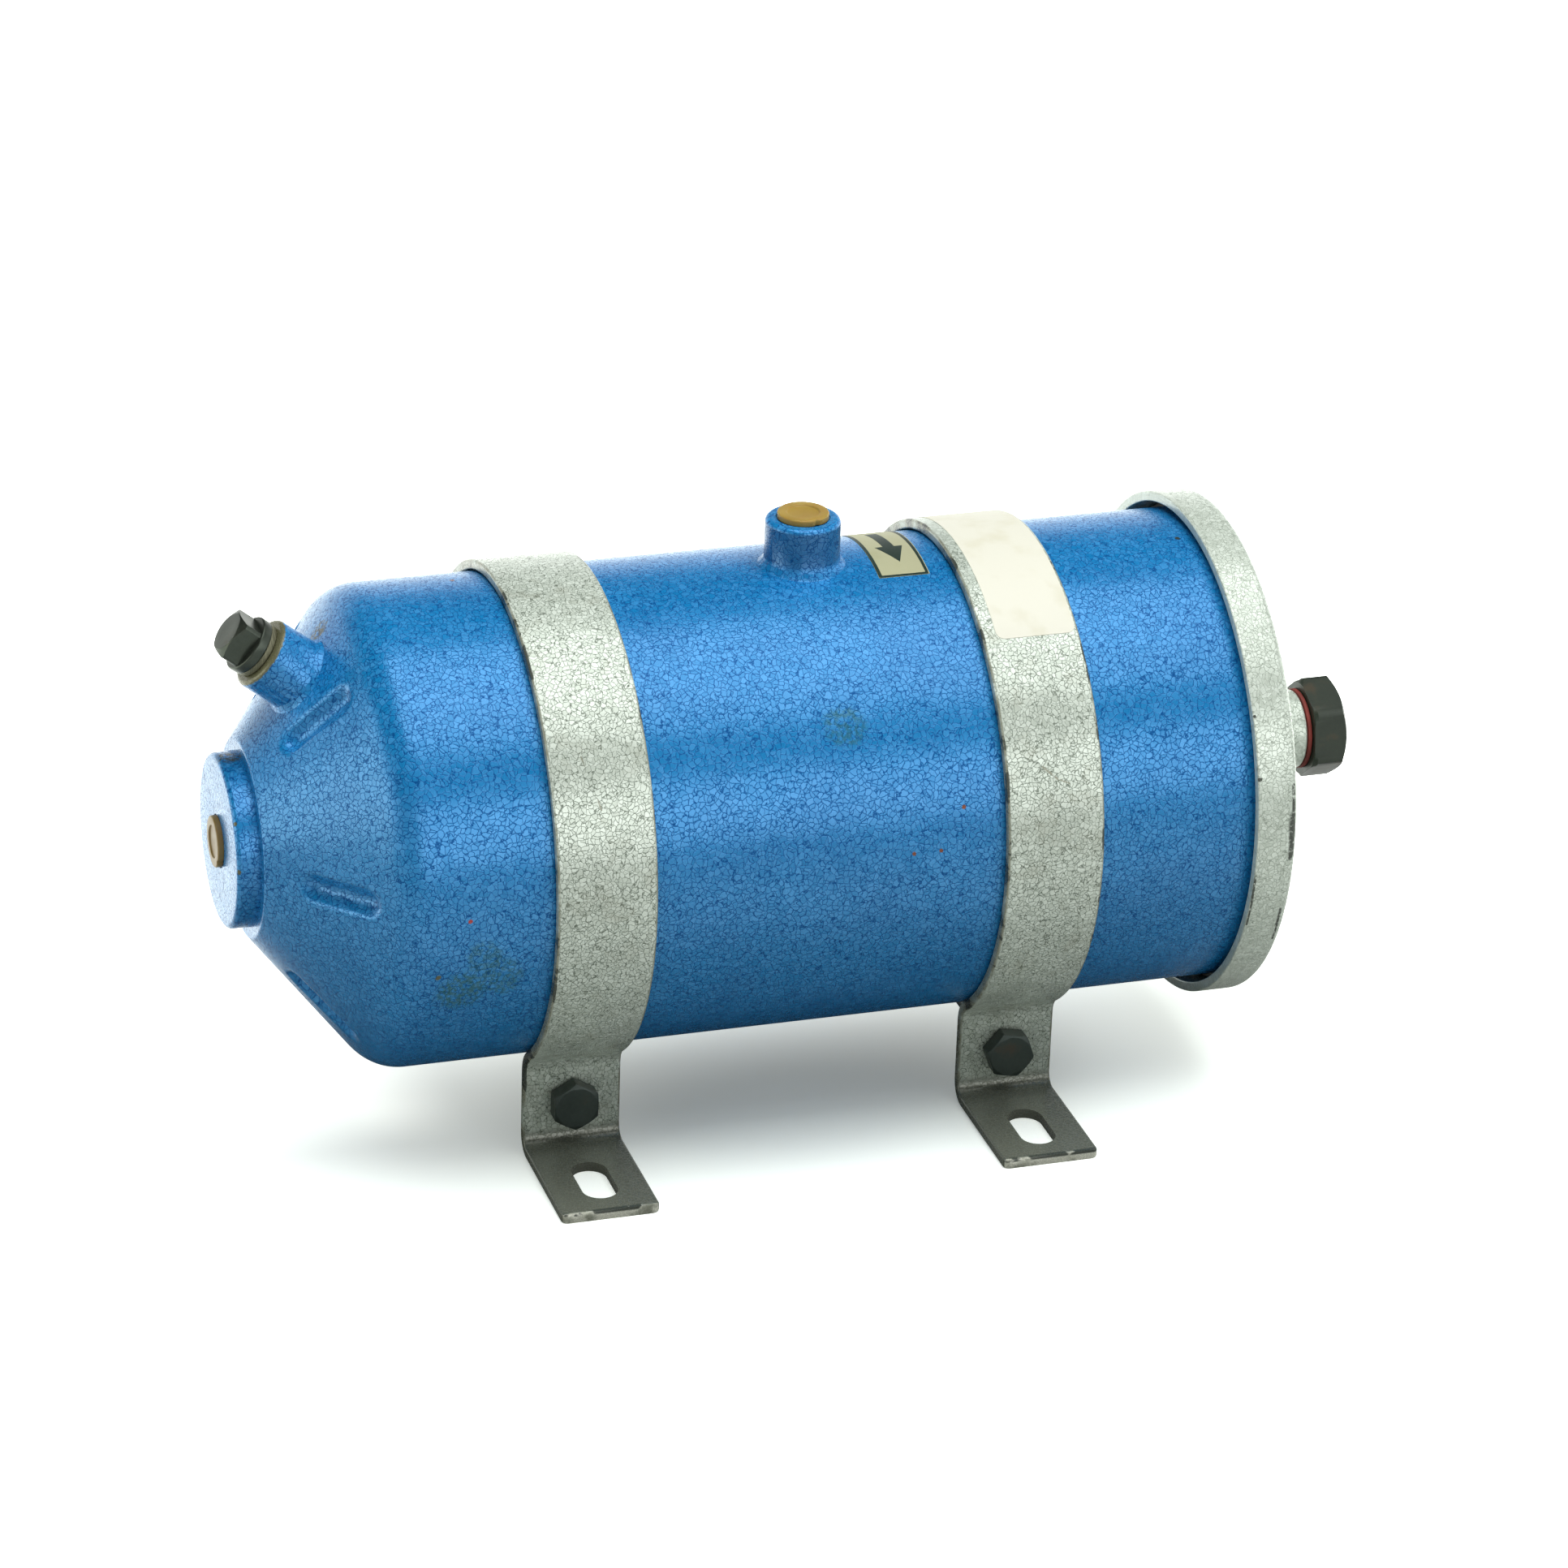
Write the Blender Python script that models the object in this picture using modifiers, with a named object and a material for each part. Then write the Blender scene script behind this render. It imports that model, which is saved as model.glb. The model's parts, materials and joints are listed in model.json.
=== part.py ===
"""A band-clamped fluid canister: a drawn steel shell with a coned end, held in two footed clamp bands.

The canister lies along X, with its bolted cover at +X and its outlet port at -X. It stands on the
floor, z = 0, on the feet of its bands, and x = 0 is the middle of its length. Lengths are in metres.
"""

import math

import bmesh
import bpy
from mathutils import Matrix, Vector

# Clearances
FIT_GAP = 0.0003
THREAD_GAP = 0.0003
BOLT_HOLE_GAP = 0.0005
ELEMENT_SLIDE_GAP = 0.0008
SKIRT_GAP = 0.002
BOLT_TO_SHELL = 0.001

# Shell
BODY_RADIUS = 0.070
SHELL_WALL = 0.003
BARREL_LENGTH = 0.2563
CONE_LENGTH = 0.0324
SHOULDER_RADIUS = 0.015
SMALL_END_LEDGE = 0.0035
SMALL_END_ROUND = 0.0015

# Flutes pressed into the cone
FLUTE_COUNT = 6
FLUTE_TURN = math.radians(25.4)
FLUTE_WIDTH = 0.007
FLUTE_DEPTH = 0.003
FLUTE_STRAIGHT = 0.020
FLUTE_SETBACK = 0.0272

# Ports and their transit caps
PORT_RADIUS = 0.0059
PORT_RECESS = 0.0005
CAP_FLANGE_RADIUS = 0.0075
CAP_FLANGE = 0.0019
CAP_PLUG_LENGTH = 0.0075
CAP_RECESS_RADIUS = 0.0046
CAP_RECESS = 0.0005
CAP_EDGE = 0.0004
BOSS_EDGE = 0.0016

# Outlet boss in the cone's tip
OUTLET_FLANGE = 0.0065
OUTLET_FLANGE_WIDTH = 0.0054
OUTLET_SPIGOT_WALL = 0.0067
OUTLET_SPIGOT = 0.012
OUTLET_SOCKET = 0.010

# Inlet boss on top of the barrel
INLET_SETBACK = 0.1328
INLET_BOSS_RADIUS = 0.011
INLET_BOSS_HEIGHT = 0.014
INLET_WELD_LEG = 0.0022

# Vent boss and its screw plug on the cone
VENT_SETBACK = 0.0262
VENT_BOSS_RADIUS = 0.0107
VENT_BOSS_HEIGHT = 0.0138
VENT_WELD_LEG = 0.0013
VENT_THREAD_RADIUS = 0.006
VENT_THREAD_LENGTH = 0.012
VENT_COLLAR_RADIUS = 0.0085
VENT_COLLAR = 0.003
VENT_SQUARE = 0.012
VENT_SQUARE_TURN = math.radians(42.5)
VENT_HEAD = 0.0065
VENT_SEAL = 0.0015

# Cover
COVER_WALL = 0.003
COVER_SKIRT = 0.0093
COVER_EDGE_ROUND = 0.002
DOME_HEIGHT = 0.0137
DOME_MARGIN = 0.005
GASKET_THICKNESS = 0.0017
GASKET_LAP = 0.0015

# Cover bolt and the collar it passes through
COVER_BOLT_RADIUS = 0.009
COVER_BOLT_LENGTH = 0.060
COVER_BOLT_FLATS = 0.027
COVER_BOLT_HEAD = 0.0105
COVER_BOLT_TURN = math.radians(51)
WASHER_FACE = 0.0008
BOLT_SEAL = 0.001
BOLT_SEAL_MARGIN = 0.0002
COLLAR_WALL = 0.0023
COLLAR_PROUD = 0.0149
COLLAR_FLANGE = 0.003
COLLAR_SPIGOT = 0.012
COLLAR_EDGE = 0.0008

# Centre tube
TUBE_WALL = 0.0037
TUBE_TOP_GAP = 0.004
TUBE_HOLE_RADIUS = 0.004
TUBE_HOLE_ROWS = 3

# Filter element and its spring
ELEMENT_LENGTH = 0.190
ELEMENT_RADIUS = 0.050
END_CAP_WALL = 0.0015
END_CAP_RIM = 0.007
CORE_RADIUS = 0.0235
CORE_WALL = 0.0015
CORE_HOLE_RADIUS = 0.004
CORE_HOLE_ROWS = 4
PLEATS = 24
PLEAT_PAPER = 0.0012
ELEMENT_SEAL = 0.003
ELEMENT_SEAL_WIDTH = 0.010
SEAT_PLATE = 0.003
SEAT_PLATE_WIDTH = 0.018
SPRING_LENGTH = 0.040
SPRING_WIRE_RADIUS = 0.0015
SPRING_SIDE_GAP = 0.0017
SPRING_ACTIVE_TURNS = 4
SPRING_END_TURNS = 1
SPRING_END_GAP = 0.0008

# Clamp bands
CONE_STRAP_SETBACK = 0.0557
STRAP_SPACING = 0.1327
STRAP_WIDTH = 0.029
STRAP_THICKNESS = 0.003
FLANGE_HALF_GAP = 0.037
SHOULDER_BEND = 0.0065
FOOT_BEND = 0.0035
FOOT_LENGTH = 0.0457
SLOT_WIDTH = 0.0105
SLOT_LENGTH = 0.0215
SLOT_EDGE = 0.0068

# Clamp bolts and nuts
CLAMP_BOLT_RADIUS = 0.004
CLAMP_BOLT_LENGTH = 0.090
CLAMP_FLATS = 0.013
CLAMP_HEAD = 0.0053
CLAMP_NUT = 0.0068
CLAMP_HEAD_GAP = 0.002
CLAMP_BOLT_TURNS = (math.radians(30), math.radians(-11))

# Facets of the round pieces
WIDE_STEPS = 48
BROAD_STEPS = 36
SMALL_STEPS = 24
FLUTE_STEPS = 12
CROSS_HOLE_STEPS = 8
ARC_STEPS = 4
BAND_STEPS = 36
HARD_EDGE_ANGLE = math.radians(35)

# How far a cutter reaches past what it cuts
CUT_MARGIN = 0.002

# Radii that follow from the sizes above
tube_bore = COVER_BOLT_RADIUS + THREAD_GAP
tube_radius = tube_bore + TUBE_WALL
outlet_socket_radius = tube_radius + FIT_GAP
outlet_spigot_radius = outlet_socket_radius + OUTLET_SPIGOT_WALL
outlet_flange_radius = outlet_spigot_radius + OUTLET_FLANGE_WIDTH
small_end_radius = outlet_flange_radius + SMALL_END_LEDGE
shell_bore = BODY_RADIUS - SHELL_WALL
cover_bore = BODY_RADIUS + SKIRT_GAP
cover_radius = cover_bore + COVER_WALL
collar_bore = COVER_BOLT_RADIUS + BOLT_HOLE_GAP
collar_radius = collar_bore + COLLAR_WALL
spring_radius = max(collar_radius, tube_radius) + SPRING_SIDE_GAP + SPRING_WIRE_RADIUS
collar_flange_radius = spring_radius + 2 * SPRING_WIRE_RADIUS
element_bore = tube_radius + ELEMENT_SLIDE_GAP
port_recess_radius = CAP_FLANGE_RADIUS + FIT_GAP

# Stations along the axis, from the outlet cap to the head of the cover bolt
cap_proud = FIT_GAP + CAP_FLANGE - PORT_RECESS
total_length = (
    cap_proud + OUTLET_FLANGE + CONE_LENGTH + BARREL_LENGTH + GASKET_THICKNESS + COVER_WALL
    + DOME_HEIGHT + COLLAR_PROUD + BOLT_SEAL + COVER_BOLT_HEAD + 5 * FIT_GAP
)
outlet_face = cap_proud - total_length / 2
small_end = outlet_face + OUTLET_FLANGE + FIT_GAP
corner = small_end + CONE_LENGTH
open_end = corner + BARREL_LENGTH
gasket_face = open_end + FIT_GAP
cover_floor = gasket_face + GASKET_THICKNESS + FIT_GAP
cover_face = cover_floor + COVER_WALL
dome_top = cover_face + DOME_HEIGHT
collar_end = dome_top + COLLAR_PROUD
bolt_seal_face = collar_end + FIT_GAP
bolt_seat = bolt_seal_face + BOLT_SEAL + FIT_GAP
collar_seat = dome_top - COVER_WALL - FIT_GAP
spring_seat = collar_seat - COLLAR_FLANGE
collar_foot = spring_seat - COLLAR_SPIGOT
tube_top = collar_foot - TUBE_TOP_GAP
outlet_spigot_end = small_end + SHELL_WALL + OUTLET_SPIGOT
tube_foot = outlet_spigot_end - OUTLET_SOCKET + FIT_GAP
element_top = spring_seat - SPRING_LENGTH
element_foot = element_top - ELEMENT_LENGTH
element_seal_foot = element_foot - FIT_GAP - ELEMENT_SEAL
seat_top = element_seal_foot - FIT_GAP
inlet_station = corner + INLET_SETBACK
strap_stations = (corner + CONE_STRAP_SETBACK, corner + CONE_STRAP_SETBACK + STRAP_SPACING)

# Heights and the cone's slope
clamp_corner = CLAMP_FLATS / math.sqrt(3)
clamp_height = STRAP_THICKNESS + FOOT_BEND + CLAMP_HEAD_GAP + clamp_corner
axis_height = clamp_height + CLAMP_BOLT_RADIUS + BOLT_TO_SHELL + BODY_RADIUS
cone_angle = math.atan2(BODY_RADIUS - small_end_radius, CONE_LENGTH)


def clear_scene():
    for old in list(bpy.data.objects):
        bpy.data.objects.remove(old)


def new_collection(name):
    collection = bpy.data.collections.new(name)
    bpy.context.scene.collection.children.link(collection)
    return collection


clear_scene()
PARTS = new_collection("fluid_canister")
CUTTERS = new_collection("cutters")
CUTTERS.hide_render = True


def finish(name, color, roughness, metallic):
    """A Principled material with one colour, roughness and metallic value."""
    material = bpy.data.materials.new(name)
    material.use_nodes = True
    shader = material.node_tree.nodes["Principled BSDF"]
    shader.inputs["Base Color"].default_value = (*color, 1.0)
    shader.inputs["Roughness"].default_value = roughness
    shader.inputs["Metallic"].default_value = metallic
    return material


BLUE_PAINT = ((0.02, 0.19, 0.55), 0.35, 0.4)
SILVER_PAINT = ((0.51, 0.54, 0.50), 0.45, 0.5)
BLACK_STEEL = ((0.035, 0.04, 0.035), 0.45, 0.8)
OLIVE_STEEL = ((0.11, 0.12, 0.09), 0.4, 0.8)
BRIGHT_STEEL = ((0.55, 0.55, 0.55), 0.3, 1.0)
BRIGHT_ALUMINIUM = ((0.7, 0.7, 0.68), 0.3, 1.0)
AMBER_PLASTIC = ((0.62, 0.36, 0.05), 0.4, 0.0)
RED_RUBBER = ((0.5, 0.06, 0.04), 0.6, 0.0)
BLACK_RUBBER = ((0.02, 0.02, 0.02), 0.7, 0.0)
FILTER_PAPER = ((0.6, 0.5, 0.3), 0.9, 0.0)


def axis_empty(name, location, rotation, parent=None):
    """An empty whose local Z is the axis of what is parented to it."""
    empty = bpy.data.objects.new(name, None)
    empty.empty_display_size = 0.02
    empty.location = location
    empty.rotation_euler = rotation
    empty.parent = parent
    PARTS.objects.link(empty)
    return empty


def add_part(name, data, parent, look):
    piece = bpy.data.objects.new(name, data)
    piece.parent = parent
    piece.data.materials.append(finish(name, *look))
    PARTS.objects.link(piece)
    return piece


def add_cutter(name, data, parent):
    cutter = bpy.data.objects.new(name, data)
    cutter.parent = parent
    cutter.hide_render = True
    cutter.display_type = "WIRE"
    CUTTERS.objects.link(cutter)
    return cutter


def cut(piece, cutter):
    modifier = piece.modifiers.new(cutter.name, "BOOLEAN")
    modifier.operation = "DIFFERENCE"
    modifier.solver = "EXACT"
    modifier.object = cutter


def profile_mesh(name, points, closed):
    """A profile of (radius, height) points in the local XZ plane."""
    count = len(points)
    edges = [(i, i + 1) for i in range(count - 1)]
    if closed:
        edges.append((count - 1, 0))
    mesh = bpy.data.meshes.new(name)
    mesh.from_pydata([(radius, 0.0, height) for radius, height in points], edges, [])
    return mesh


def turn(piece, steps):
    """Turns the piece's profile about its local Z."""
    screw = piece.modifiers.new("Turn", "SCREW")
    screw.axis = "Z"
    screw.steps = steps
    screw.render_steps = steps
    screw.use_merge_vertices = True
    screw.merge_threshold = 0.00001


def turned_ring(name, points, steps, parent, look):
    """A turned piece with a bore: its profile runs down the outside and back up the bore."""
    piece = add_part(name, profile_mesh(name, points, True), parent, look)
    turn(piece, steps)
    return piece


def turned_solid(name, points, steps, parent, look):
    """A turned piece with no bore: its profile runs from the axis down the outside to the axis."""
    piece = add_part(name, profile_mesh(name, points, False), parent, look)
    turn(piece, steps)
    return piece


def turned_cutter(name, points, steps, parent, closed=False):
    cutter = add_cutter(name, profile_mesh(name, points, closed), parent)
    turn(cutter, steps)
    return cutter


def cylinder_points(radius, low, high):
    return [(0.0, high), (radius, high), (radius, low), (0.0, low)]


def tube_points(radius, bore, low, high):
    return [(bore, high), (radius, high), (radius, low), (bore, low)]


def rounded(before, at, after, radius, steps=ARC_STEPS):
    """Points of the arc of this radius that rounds the corner between two straight runs."""
    at = Vector(at)
    back = (Vector(before) - at).normalized()
    ahead = (Vector(after) - at).normalized()
    half = back.angle(ahead) / 2
    centre = at + (back + ahead).normalized() * (radius / math.sin(half))
    start = at + back * (radius / math.tan(half)) - centre
    sweep = start.angle_signed(at + ahead * (radius / math.tan(half)) - centre)
    return [
        tuple(centre + Matrix.Rotation(-sweep * i / steps, 2) @ start) for i in range(steps + 1)
    ]


def flats_cut(piece, flats, low, high, parent, turned_by=0.0, sides=6):
    """Cuts equal flats, six for a hexagon, on a turned piece between two heights."""
    corner_radius = flats / 2 / math.cos(math.pi / sides)
    points = tube_points(2 * corner_radius, corner_radius, low, high)
    sleeve = turned_cutter(piece.name + "_flats", points, sides, parent, closed=True)
    sleeve.rotation_euler.z = turned_by
    cut(piece, sleeve)


def chamfer_of(flats, corner_radius):
    """(radius of the flat end, height) of the chamfer on a hexagon or square."""
    end_radius = 0.47 * flats
    return end_radius, (corner_radius - end_radius) * math.tan(math.radians(30))


def flat_mesh(name, outlines, thickness):
    """A flat outline, with any inner outlines as holes, as a mesh with this thickness."""
    curve = bpy.data.curves.new(name, "CURVE")
    curve.dimensions = "2D"
    curve.fill_mode = "BOTH"
    curve.extrude = thickness / 2
    for outline in outlines:
        spline = curve.splines.new("POLY")
        spline.points.add(len(outline) - 1)
        for point, (across, up) in zip(spline.points, outline):
            point.co = (across, up, 0.0, 1.0)
        spline.use_cyclic_u = True
    return mesh_of_curve(name, curve)


def mesh_of_curve(name, curve):
    """The curve as a mesh with its caps welded on."""
    holder = bpy.data.objects.new(name + "_curve", curve)
    CUTTERS.objects.link(holder)
    graph = bpy.context.evaluated_depsgraph_get()
    mesh = bpy.data.meshes.new_from_object(holder.evaluated_get(graph))
    bpy.data.objects.remove(holder)
    form = bmesh.new()
    form.from_mesh(mesh)
    bmesh.ops.remove_doubles(form, verts=form.verts, dist=0.000001)
    bmesh.ops.recalc_face_normals(form, faces=form.faces)
    form.to_mesh(mesh)
    form.free()
    mesh.name = name
    return mesh


def offset_path(path, distance, closed):
    """The path moved sideways: each corner goes to where its two moved edges meet."""
    points = [Vector(point) for point in path]
    count = len(points)
    edges = [(points[(i + 1) % count] - points[i]).normalized() for i in range(count)]
    normals = [Vector((-edge.y, edge.x)) for edge in edges]
    moved = []
    for i, point in enumerate(points):
        before = normals[i - 1] if closed or i > 0 else normals[0]
        after = normals[i] if closed or i < count - 1 else normals[count - 2]
        moved.append(tuple(point + (before + after) * (distance / (1 + before.dot(after)))))
    return moved


main_axis = axis_empty("main_axis", (0, 0, axis_height), (math.pi, -math.pi / 2, 0))
inlet_axis = axis_empty("inlet_axis", (0, 0, inlet_station), (0, math.pi / 2, 0), main_axis)
outlet_axis = axis_empty("outlet_axis", (0, 0, outlet_face), (math.pi, 0, 0), main_axis)
vent_axis = axis_empty(
    "vent_axis",
    (
        small_end_radius + VENT_SETBACK * math.sin(cone_angle),
        0,
        small_end + VENT_SETBACK * math.cos(cone_angle),
    ),
    (0, math.pi / 2 + cone_angle, 0),
    main_axis,
)


def shell_outline(inset):
    """The shell's half section from the axis at its open end to the axis at its tip, moved in by inset."""
    radius = BODY_RADIUS - inset
    at_corner = (radius, corner + inset * math.tan(cone_angle / 2))
    tip_radius = small_end_radius - inset * math.tan((math.pi / 2 - cone_angle) / 2)
    at_tip = (tip_radius, small_end + inset)
    mouth = open_end + (CUT_MARGIN if inset else 0.0)
    at_mouth = (radius, mouth)
    at_axis = (0.0, small_end + inset)
    return [
        (0.0, mouth),
        at_mouth,
        *rounded(at_mouth, at_corner, at_tip, SHOULDER_RADIUS - inset, ARC_STEPS + 1),
        *rounded(at_corner, at_tip, at_axis, SMALL_END_ROUND, 2),
        at_axis,
    ]


def flute_mesh(name, grow):
    """Round-ended rods, one for each flute, lying along the cone. grow widens them by the shell's wall."""
    rod_radius = (FLUTE_WIDTH ** 2 / 4 + FLUTE_DEPTH ** 2) / (2 * FLUTE_DEPTH)
    lift = rod_radius - FLUTE_DEPTH
    along = Vector((math.sin(cone_angle), 0, math.cos(cone_angle)))
    outward = Vector((math.cos(cone_angle), 0, -math.sin(cone_angle)))
    middle = Vector((small_end_radius, 0, small_end)) + along * FLUTE_SETBACK + outward * lift
    form = bmesh.new()
    for i in range(FLUTE_COUNT):
        rod = bmesh.ops.create_uvsphere(
            form, u_segments=FLUTE_STEPS, v_segments=7, radius=rod_radius + grow
        )
        for vert in rod["verts"]:
            vert.co.z += math.copysign(FLUTE_STRAIGHT / 2, vert.co.z)
        place = (
            Matrix.Rotation(FLUTE_TURN + 2 * math.pi * i / FLUTE_COUNT, 4, "Z")
            @ Matrix.Translation(middle)
            @ Matrix.Rotation(cone_angle, 4, "Y")
        )
        bmesh.ops.transform(form, matrix=place, verts=rod["verts"])
    mesh = bpy.data.meshes.new(name)
    form.to_mesh(mesh)
    form.free()
    return mesh


def make_shell():
    shell = turned_solid("canister_shell", shell_outline(0.0), WIDE_STEPS, main_axis, BLUE_PAINT)
    cut(shell, add_cutter("flutes", flute_mesh("flutes", 0.0), main_axis))
    inside = turned_cutter("shell_inside", shell_outline(SHELL_WALL), WIDE_STEPS, main_axis)
    cut(inside, add_cutter("flute_backs", flute_mesh("flute_backs", SHELL_WALL), main_axis))
    cut(shell, inside)
    hole = cylinder_points(
        outlet_spigot_radius + FIT_GAP, small_end - CUT_MARGIN, small_end + 2 * SHELL_WALL
    )
    cut(shell, turned_cutter("outlet_hole", hole, BROAD_STEPS, main_axis))
    hole = cylinder_points(PORT_RADIUS, shell_bore - CUT_MARGIN, BODY_RADIUS + CUT_MARGIN)
    cut(shell, turned_cutter("inlet_hole", hole, SMALL_STEPS, inlet_axis))
    hole = cylinder_points(VENT_THREAD_RADIUS + THREAD_GAP, -2 * SHELL_WALL, CUT_MARGIN)
    cut(shell, turned_cutter("vent_hole", hole, SMALL_STEPS, vent_axis))


def port_mouth(face, inward):
    """The mouth of a port, with a shallow recess round it in which the flange of its cap lies."""
    return [
        (PORT_RADIUS, face + inward * PORT_RECESS),
        (port_recess_radius, face + inward * PORT_RECESS),
        (port_recess_radius, face),
    ]


def make_welded_boss(name, radius, mouth, foot, weld_leg, axis, saddle):
    """A turned boss with a weld round its foot, its underside cut to the shell."""
    bore, top = mouth[0][0], mouth[-1][1]
    weld_radius = radius + weld_leg
    under = foot - SHELL_WALL
    points = [
        *mouth,
        *rounded((bore, top), (radius, top), (radius, foot), BOSS_EDGE, 2),
        (radius, foot + weld_leg),
        (weld_radius, foot),
        (weld_radius, under),
        (bore, under),
    ]
    cut(turned_ring(name, points, SMALL_STEPS, axis, BLUE_PAINT), saddle)


def make_outlet_boss():
    points = [
        (outlet_socket_radius, outlet_spigot_end),
        (outlet_spigot_radius, outlet_spigot_end),
        (outlet_spigot_radius, small_end - FIT_GAP),
        (outlet_flange_radius, small_end - FIT_GAP),
        *rounded(
            (outlet_flange_radius, small_end), (outlet_flange_radius, outlet_face), (0, outlet_face),
            BOSS_EDGE, 2,
        ),
        *reversed(port_mouth(outlet_face, 1)),
        (PORT_RADIUS, tube_foot - FIT_GAP),
        (outlet_socket_radius, tube_foot - FIT_GAP),
    ]
    turned_ring("outlet_boss", points, BROAD_STEPS, main_axis, BLUE_PAINT)


def make_cap(name, axis, mouth):
    """A plastic cap whose plug fills the mouth of a port, its flange lying in the recess round it."""
    top = FIT_GAP + CAP_FLANGE
    plug_radius = PORT_RADIUS - FIT_GAP
    points = [
        (0.0, top - CAP_RECESS),
        (CAP_RECESS_RADIUS, top - CAP_RECESS),
        (CAP_RECESS_RADIUS, top),
        (CAP_FLANGE_RADIUS - CAP_EDGE, top),
        (CAP_FLANGE_RADIUS, top - CAP_EDGE),
        (CAP_FLANGE_RADIUS, FIT_GAP),
        (plug_radius, FIT_GAP),
        (plug_radius, -CAP_PLUG_LENGTH),
        (0.0, -CAP_PLUG_LENGTH),
    ]
    cap = turned_solid(name, points, SMALL_STEPS, axis, AMBER_PLASTIC)
    cap.location.z = mouth - PORT_RECESS


def make_bosses_and_caps():
    saddle = turned_cutter("saddle", shell_outline(-FIT_GAP), WIDE_STEPS, main_axis)
    inlet_top = BODY_RADIUS + INLET_BOSS_HEIGHT
    make_welded_boss(
        "inlet_boss", INLET_BOSS_RADIUS, port_mouth(inlet_top, -1), BODY_RADIUS, INLET_WELD_LEG,
        inlet_axis, saddle,
    )
    make_welded_boss(
        "vent_boss", VENT_BOSS_RADIUS, [(VENT_THREAD_RADIUS + THREAD_GAP, VENT_BOSS_HEIGHT)], 0.0,
        VENT_WELD_LEG, vent_axis, saddle,
    )
    make_outlet_boss()
    make_cap("inlet_cap", inlet_axis, inlet_top)
    make_cap("outlet_cap", outlet_axis, 0.0)


def make_vent_plug():
    seal_foot = VENT_BOSS_HEIGHT + FIT_GAP
    collar_foot_height = seal_foot + VENT_SEAL + FIT_GAP
    collar_top = collar_foot_height + VENT_COLLAR
    top = collar_top + VENT_HEAD
    head_radius = VENT_COLLAR_RADIUS - 1.5 * CAP_EDGE
    end_radius, chamfer = chamfer_of(VENT_SQUARE, head_radius)
    tip = collar_foot_height - VENT_THREAD_LENGTH
    points = [
        (0.0, top),
        (end_radius, top),
        (head_radius, top - chamfer),
        (head_radius, collar_top),
        *rounded(
            (0.0, collar_top), (VENT_COLLAR_RADIUS, collar_top),
            (VENT_COLLAR_RADIUS, collar_foot_height), CAP_EDGE, 2,
        ),
        (VENT_COLLAR_RADIUS, collar_foot_height),
        (VENT_THREAD_RADIUS, collar_foot_height),
        (VENT_THREAD_RADIUS, tip),
        (0.0, tip),
    ]
    plug = turned_solid("vent_plug", points, SMALL_STEPS, vent_axis, OLIVE_STEEL)
    flats_cut(plug, VENT_SQUARE, collar_top, top + CUT_MARGIN, vent_axis, VENT_SQUARE_TURN, 4)
    ring = tube_points(
        VENT_COLLAR_RADIUS - FIT_GAP, VENT_THREAD_RADIUS + THREAD_GAP, seal_foot, seal_foot + VENT_SEAL
    )
    turned_ring("vent_plug_seal", ring, SMALL_STEPS, vent_axis, BRIGHT_ALUMINIUM)


def dome_points(low, wall_shift):
    """The lid's dished middle, a smooth S from its raised centre down to its flat rim."""
    inner = collar_flange_radius + SPRING_WIRE_RADIUS
    outer = shell_bore - DOME_MARGIN
    steps = ARC_STEPS + 2
    points = []
    for i in range(steps + 1):
        share = i / steps
        height = DOME_HEIGHT * (1 + math.cos(math.pi * share)) / 2
        points.append((inner + (outer - inner) * share, low + height - wall_shift))
    return points


def make_cover():
    hole = collar_radius + FIT_GAP
    rim = cover_floor - COVER_SKIRT
    points = [
        (hole, dome_top),
        *dome_points(cover_face, 0.0),
        *rounded((0, cover_face), (cover_radius, cover_face), (cover_radius, rim), COVER_EDGE_ROUND),
        (cover_radius, rim),
        (cover_bore, rim),
        (cover_bore, cover_floor),
        *reversed(dome_points(cover_face, COVER_WALL)),
        (hole, dome_top - COVER_WALL),
    ]
    turned_ring("cover", points, WIDE_STEPS, main_axis, SILVER_PAINT)
    gasket = tube_points(
        cover_bore - FIT_GAP, shell_bore - GASKET_LAP, gasket_face, gasket_face + GASKET_THICKNESS
    )
    turned_ring("cover_gasket", gasket, BROAD_STEPS, main_axis, BLACK_RUBBER)


def make_cover_collar():
    points = [
        (collar_bore, collar_end),
        (collar_radius - COLLAR_EDGE, collar_end),
        (collar_radius, collar_end - COLLAR_EDGE),
        (collar_radius, collar_seat),
        (collar_flange_radius, collar_seat),
        (collar_flange_radius, spring_seat),
        (collar_radius, spring_seat),
        (collar_radius, collar_foot),
        (collar_bore, collar_foot),
    ]
    turned_ring("cover_collar", points, SMALL_STEPS, main_axis, SILVER_PAINT)


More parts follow.
